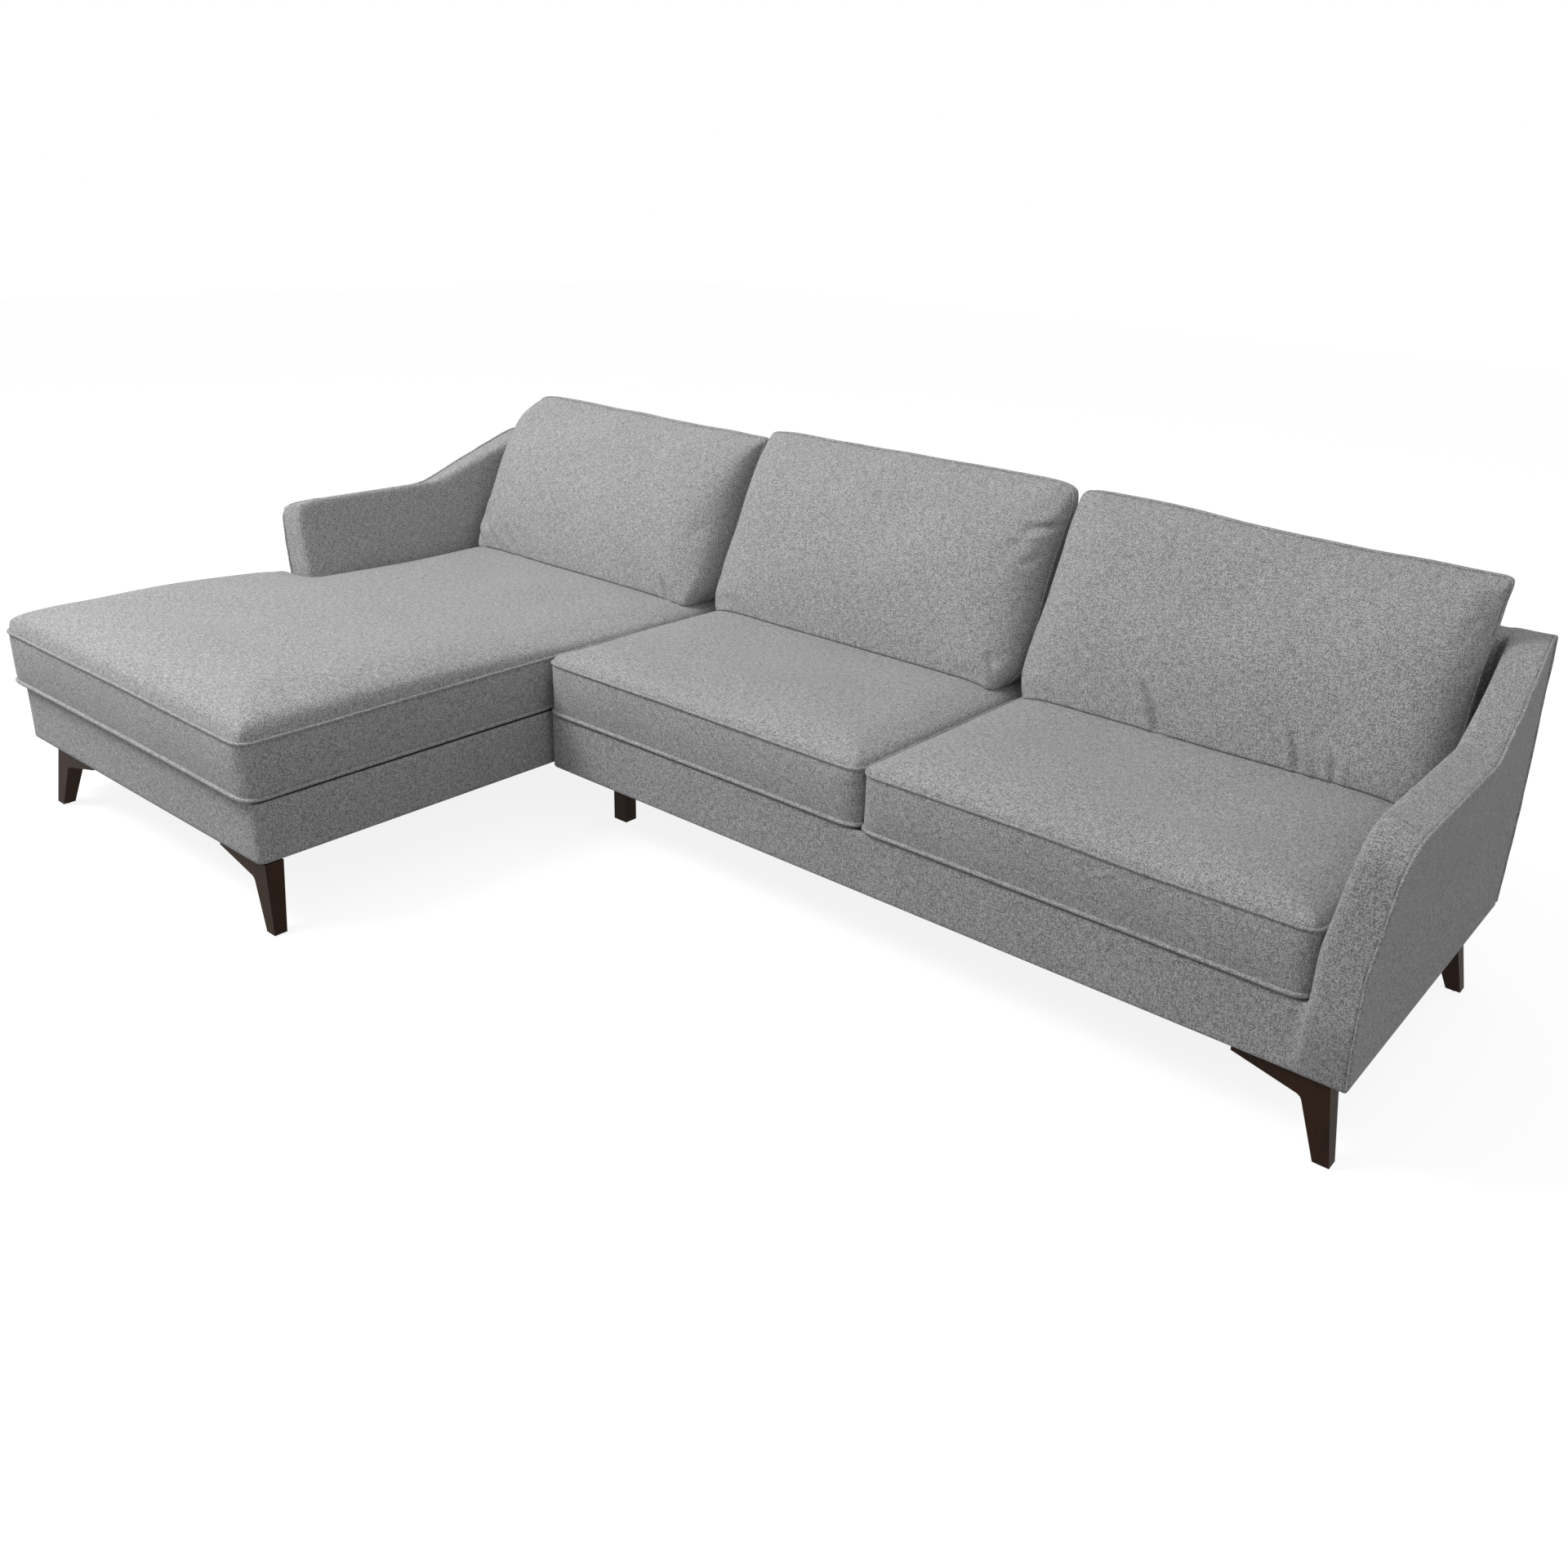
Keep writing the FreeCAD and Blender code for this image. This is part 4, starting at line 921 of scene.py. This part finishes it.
def outer_line(node, side):
    """Sharp outer edge of an arm from its front foot over the top to its rear foot."""
    shape = bmesh.new()
    shape.from_mesh(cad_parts[node].data)
    bmesh.ops.remove_doubles(shape, verts=shape.verts, dist=MERGE)
    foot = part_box(node)[0].z + OUTER_FOOT
    ways = {}
    for edge in shape.edges:
        ends = [vertex.co for vertex in edge.verts]
        outer = all(end.x * side > OUTER_LINE for end in ends)
        raised = any(end.z > foot for end in ends)
        if outer and raised and edge.is_manifold and edge.calc_face_angle(0) > SHARP:
            one, other = edge.verts
            ways.setdefault(one, []).append(other)
            ways.setdefault(other, []).append(one)
    start = min((v for v, near in ways.items() if len(near) == 1), key=lambda v: v.co.y)
    chain = [start]
    while True:
        onward = [v for v in ways[chain[-1]] if v not in chain]
        if not onward:
            break
        chain.append(onward[0])
    line = np.array([vertex.co for vertex in chain])
    shape.free()
    return evenly(line, EDGE_STEP)


def padded_cover(name, sources, edge):
    """Soft form round nodes that are one to the eye, crisp at its foot, deck and edge."""
    joined = bmesh.new()
    for source in sources:
        joined.from_mesh(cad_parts[source].data)
    mesh = bpy.data.meshes.new(name)
    joined.to_mesh(mesh)
    joined.free()
    even = remeshed(name, mesh, COVER_VOXEL)
    points = points_of(even)
    give = smoothstep(0, CRISP_FOOT, points[:, 2] - points[:, 2].min())
    give *= 1 - CRISPNESS * np.exp(-((points[:, 2] - DECK_EDGE) / CRISP_DECK) ** 2)
    near = distance_to(points, there_and_back(edge))
    give *= 1 - CRISPNESS * np.exp(-(near / CRISP_EDGE) ** 2)
    smooth_points(even, COVER_ROUNDS, 0.5 * give)
    return add_mesh(name, even)


def tightened(points):
    """Draws the left arm's rounded front corner out to a tighter one."""
    front = points[:, 1] - ARM_FRONT - FRONT_ROUND
    top = ARM_TOP - TOP_SLOPE * (np.abs(points[:, 0]) - INNER_FOOT - INNER_FLARE)
    level = points[:, 2] - top + FRONT_ROUND
    within = (front < 0) & (level > 0)
    span = np.maximum(np.maximum(np.abs(front), np.abs(level)), LEAST_SPAN)
    grow = np.where(within, TIGHTEN * (np.hypot(front, level) / span - 1), 0)
    moved = points.copy()
    moved[:, 1] += front * grow
    moved[:, 2] += level * grow
    return moved


def add_seam(name, body, cover, line, proud, radius):
    """Open seam or welt laid on a cover, that rides on its body."""
    seam = welt(name, laid_open(cover, line, proud), radius, closed=False)
    finish_piece(seam, body, UPHOLSTERY)


for module, arm, side in (("chaise", "arm_left", -1), ("loveseat", "arm_right", 1)):
    covers = [module + "_base_cover", arm + "_cover", module + "_back_cover"]
    wood_inside = [
        arm + "_board", arm + "_foot_rail", module + "_back_posts", module + "_back_top_rail",
    ]
    edge = outer_line(arm + "_cover", side)
    cover = padded_cover(module + "_upholstery", covers + wood_inside, edge)
    if module == "chaise":
        set_points(cover.data, tightened(points_of(cover.data)))
        edge = tightened(edge)
    inner = edge[(edge[:, 1] < SOFT_REAR) & (edge[:, 2] > SOFT_FOOT)].copy()
    lean = np.clip((inner[:, 2] - ARM_WAIST) / (ARM_TOP - ARM_WAIST), 0, 1)
    inner[:, 0] = side * (INNER_FOOT + INNER_FLARE * lean)
    points = points_of(cover.data)
    near = distance_to(points, there_and_back(inner))
    smooth_points(cover.data, SOFT_ROUNDS, 0.5 * np.exp(-(near / SOFT_EDGE) ** 4))
    finish_piece(cover, module, UPHOLSTERY, covers)
    add_seam(arm + "_welt", module, cover, edge, *ARM_WELT)
    cross = np.column_stack((
        np.linspace(side * CROSS_INNER, side * CROSS_OUTER, CROSS_POINTS),
        np.full(CROSS_POINTS, CROSS_ALONG), np.full(CROSS_POINTS, CROSS_ABOVE),
    ))
    add_seam(arm + "_cross_seam", module, cover, cross, *CROSS_SEAM)
    low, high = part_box(module + "_back_cover")
    ends = [(x, high.y, high.z) for x in (low.x + BACK_INSET, high.x - BACK_INSET)]
    top = evenly(np.array(ends), BACK_STEP)
    add_seam(module + "_back_welt", module, cover, top, *BACK_WELT)

# Decks, webbing and dust covers

CLOTH_STEP, SPLIT_ROUNDS = 0.05, 8
HANG_FROM, HANG_TO, CLOTH_WAVELENGTH = 0.03, 0.30, 0.35
# Each cloth's node, material, slot, sag and wave, in metres
CLOTHS = (
    ("deck", DECK_CLOTH, "deck_cloth", 0.0008, 0.0003),
    ("dust_cover", DUST_CLOTH, "dust_cloth", 0.0050, 0.0010),
    ("webbing", WEBBING, "webbing", 0.0, 0.0),
)


def fine_copy(name, node):
    """Copy of a node's mesh with short edges."""
    shape = bmesh.new()
    shape.from_mesh(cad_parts[node].data)
    bmesh.ops.remove_doubles(shape, verts=shape.verts, dist=MERGE)
    bmesh.ops.triangulate(shape, faces=shape.faces)
    for _ in range(SPLIT_ROUNDS):
        long = [edge for edge in shape.edges if edge.calc_length() > CLOTH_STEP]
        if not long:
            break
        bmesh.ops.subdivide_edges(shape, edges=long, cuts=1, use_grid_fill=False)
        bmesh.ops.triangulate(shape, faces=shape.faces)
    mesh = bpy.data.meshes.new(name)
    shape.to_mesh(mesh)
    shape.free()
    mesh.update()
    return mesh


for module in ("chaise", "loveseat"):
    for kind, cloth, slot_name, sag, wave in CLOTHS:
        node = module + "_" + kind
        mesh = fine_copy(node + "_cloth", node)
        low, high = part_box(node)
        points = points_of(mesh)
        span = np.minimum.reduce((
            points[:, 0] - low.x, high.x - points[:, 0],
            points[:, 1] - low.y, high.y - points[:, 1],
        ))
        hang = smoothstep(HANG_FROM, HANG_TO, span)
        waves = ripple(points * (1, 1, 0), CLOTH_WAVELENGTH, len(node))
        points[:, 2] -= hang * (sag + wave * waves)
        set_points(mesh, points)
        piece = add_mesh(node + "_cloth", mesh)
        finish_piece(piece, module, cloth, [node])

# Legs, frame and fittings keep their solids

LEG_EASE = 0.0016
BY_NAME = [
    ("leg_bolts", STEEL), ("leg_block", FRAME_WOOD), ("leg_", LEG_WOOD), ("glides", GLIDE),
    ("connectors", STEEL), ("board", PLYWOOD), ("rail", FRAME_WOOD), ("posts", FRAME_WOOD),
    ("corner_blocks", FRAME_WOOD),
]
for node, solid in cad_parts.items():
    if solid.hide_render:
        continue
    material = next(made for part, made in BY_NAME if part in node)
    solid.data.materials.clear()
    solid.data.materials.append(material)
    if node.startswith("leg_"):
        edge = solid.modifiers.new("eased_edges", "BEVEL")
        edge.width = LEG_EASE
        edge.segments = 2
        edge.limit_method = "ANGLE"

# Floor, world and lamps

FLOOR_REACH, FLOOR_DROP, FLOOR_TONE, FLOOR_GLOW = 14, 0.0005, 0.28, 0.87
WORLD_LIGHT = 0.42
# Each lamp: its place, where it aims, its power in watts and its size
LAMPS = {
    "key": ((-2.45, -2.38, 4.05), (-0.3, -0.2, 0.4), 152, 2.0),
    "fill": ((4.6, -0.4, 2.6), (1.5, 0.3, 0.4), 9, 2.4),
}


def make_stage():
    """White floor that keeps the sofa's shadow."""
    mesh = bpy.data.meshes.new("floor")
    reach = FLOOR_REACH
    corners = [(-reach, -reach, 0), (reach, -reach, 0), (reach, reach, 0), (-reach, reach, 0)]
    mesh.from_pydata(corners, [], [[0, 1, 2, 3]])
    floor = bpy.data.objects.new("floor", mesh)
    floor.location.z = -FLOOR_DROP
    scene.collection.objects.link(floor)
    nodes = new_material("floor")
    strength = nodes.math("MULTIPLY", nodes.seen(), FLOOR_GLOW)
    base = nodes.add("BsdfDiffuse", {"Color": (FLOOR_TONE, FLOOR_TONE, FLOOR_TONE, 1)})
    glow = nodes.add("Emission", {"Strength": strength})
    both = nodes.add("AddShader", {0: base.outputs[0], 1: glow.outputs[0]})
    floor.data.materials.append(nodes.finish(both))


def make_world():
    """White to the eye, softer as a light."""
    scene.world = bpy.data.worlds.new("world")
    nodes = Nodes(scene.world)
    strength = nodes.add("MapRange", {0: nodes.seen(), "To Min": WORLD_LIGHT, "To Max": 1.0})
    nodes.finish(nodes.add("Background", {0: (1, 1, 1, 1), 1: strength.outputs[0]}), "World")


def make_lamp(name, place, aim, power, size):
    """Broad soft lamp."""
    data = bpy.data.lights.new(name, "AREA")
    data.energy = power
    data.size = size
    lamp = bpy.data.objects.new(name, data)
    lamp.location = place
    lamp.rotation_euler = (Vector(place) - Vector(aim)).to_track_quat("Z", "Y").to_euler()
    scene.collection.objects.link(lamp)


make_stage()
make_world()
for lamp, values in LAMPS.items():
    make_lamp(lamp, *values)
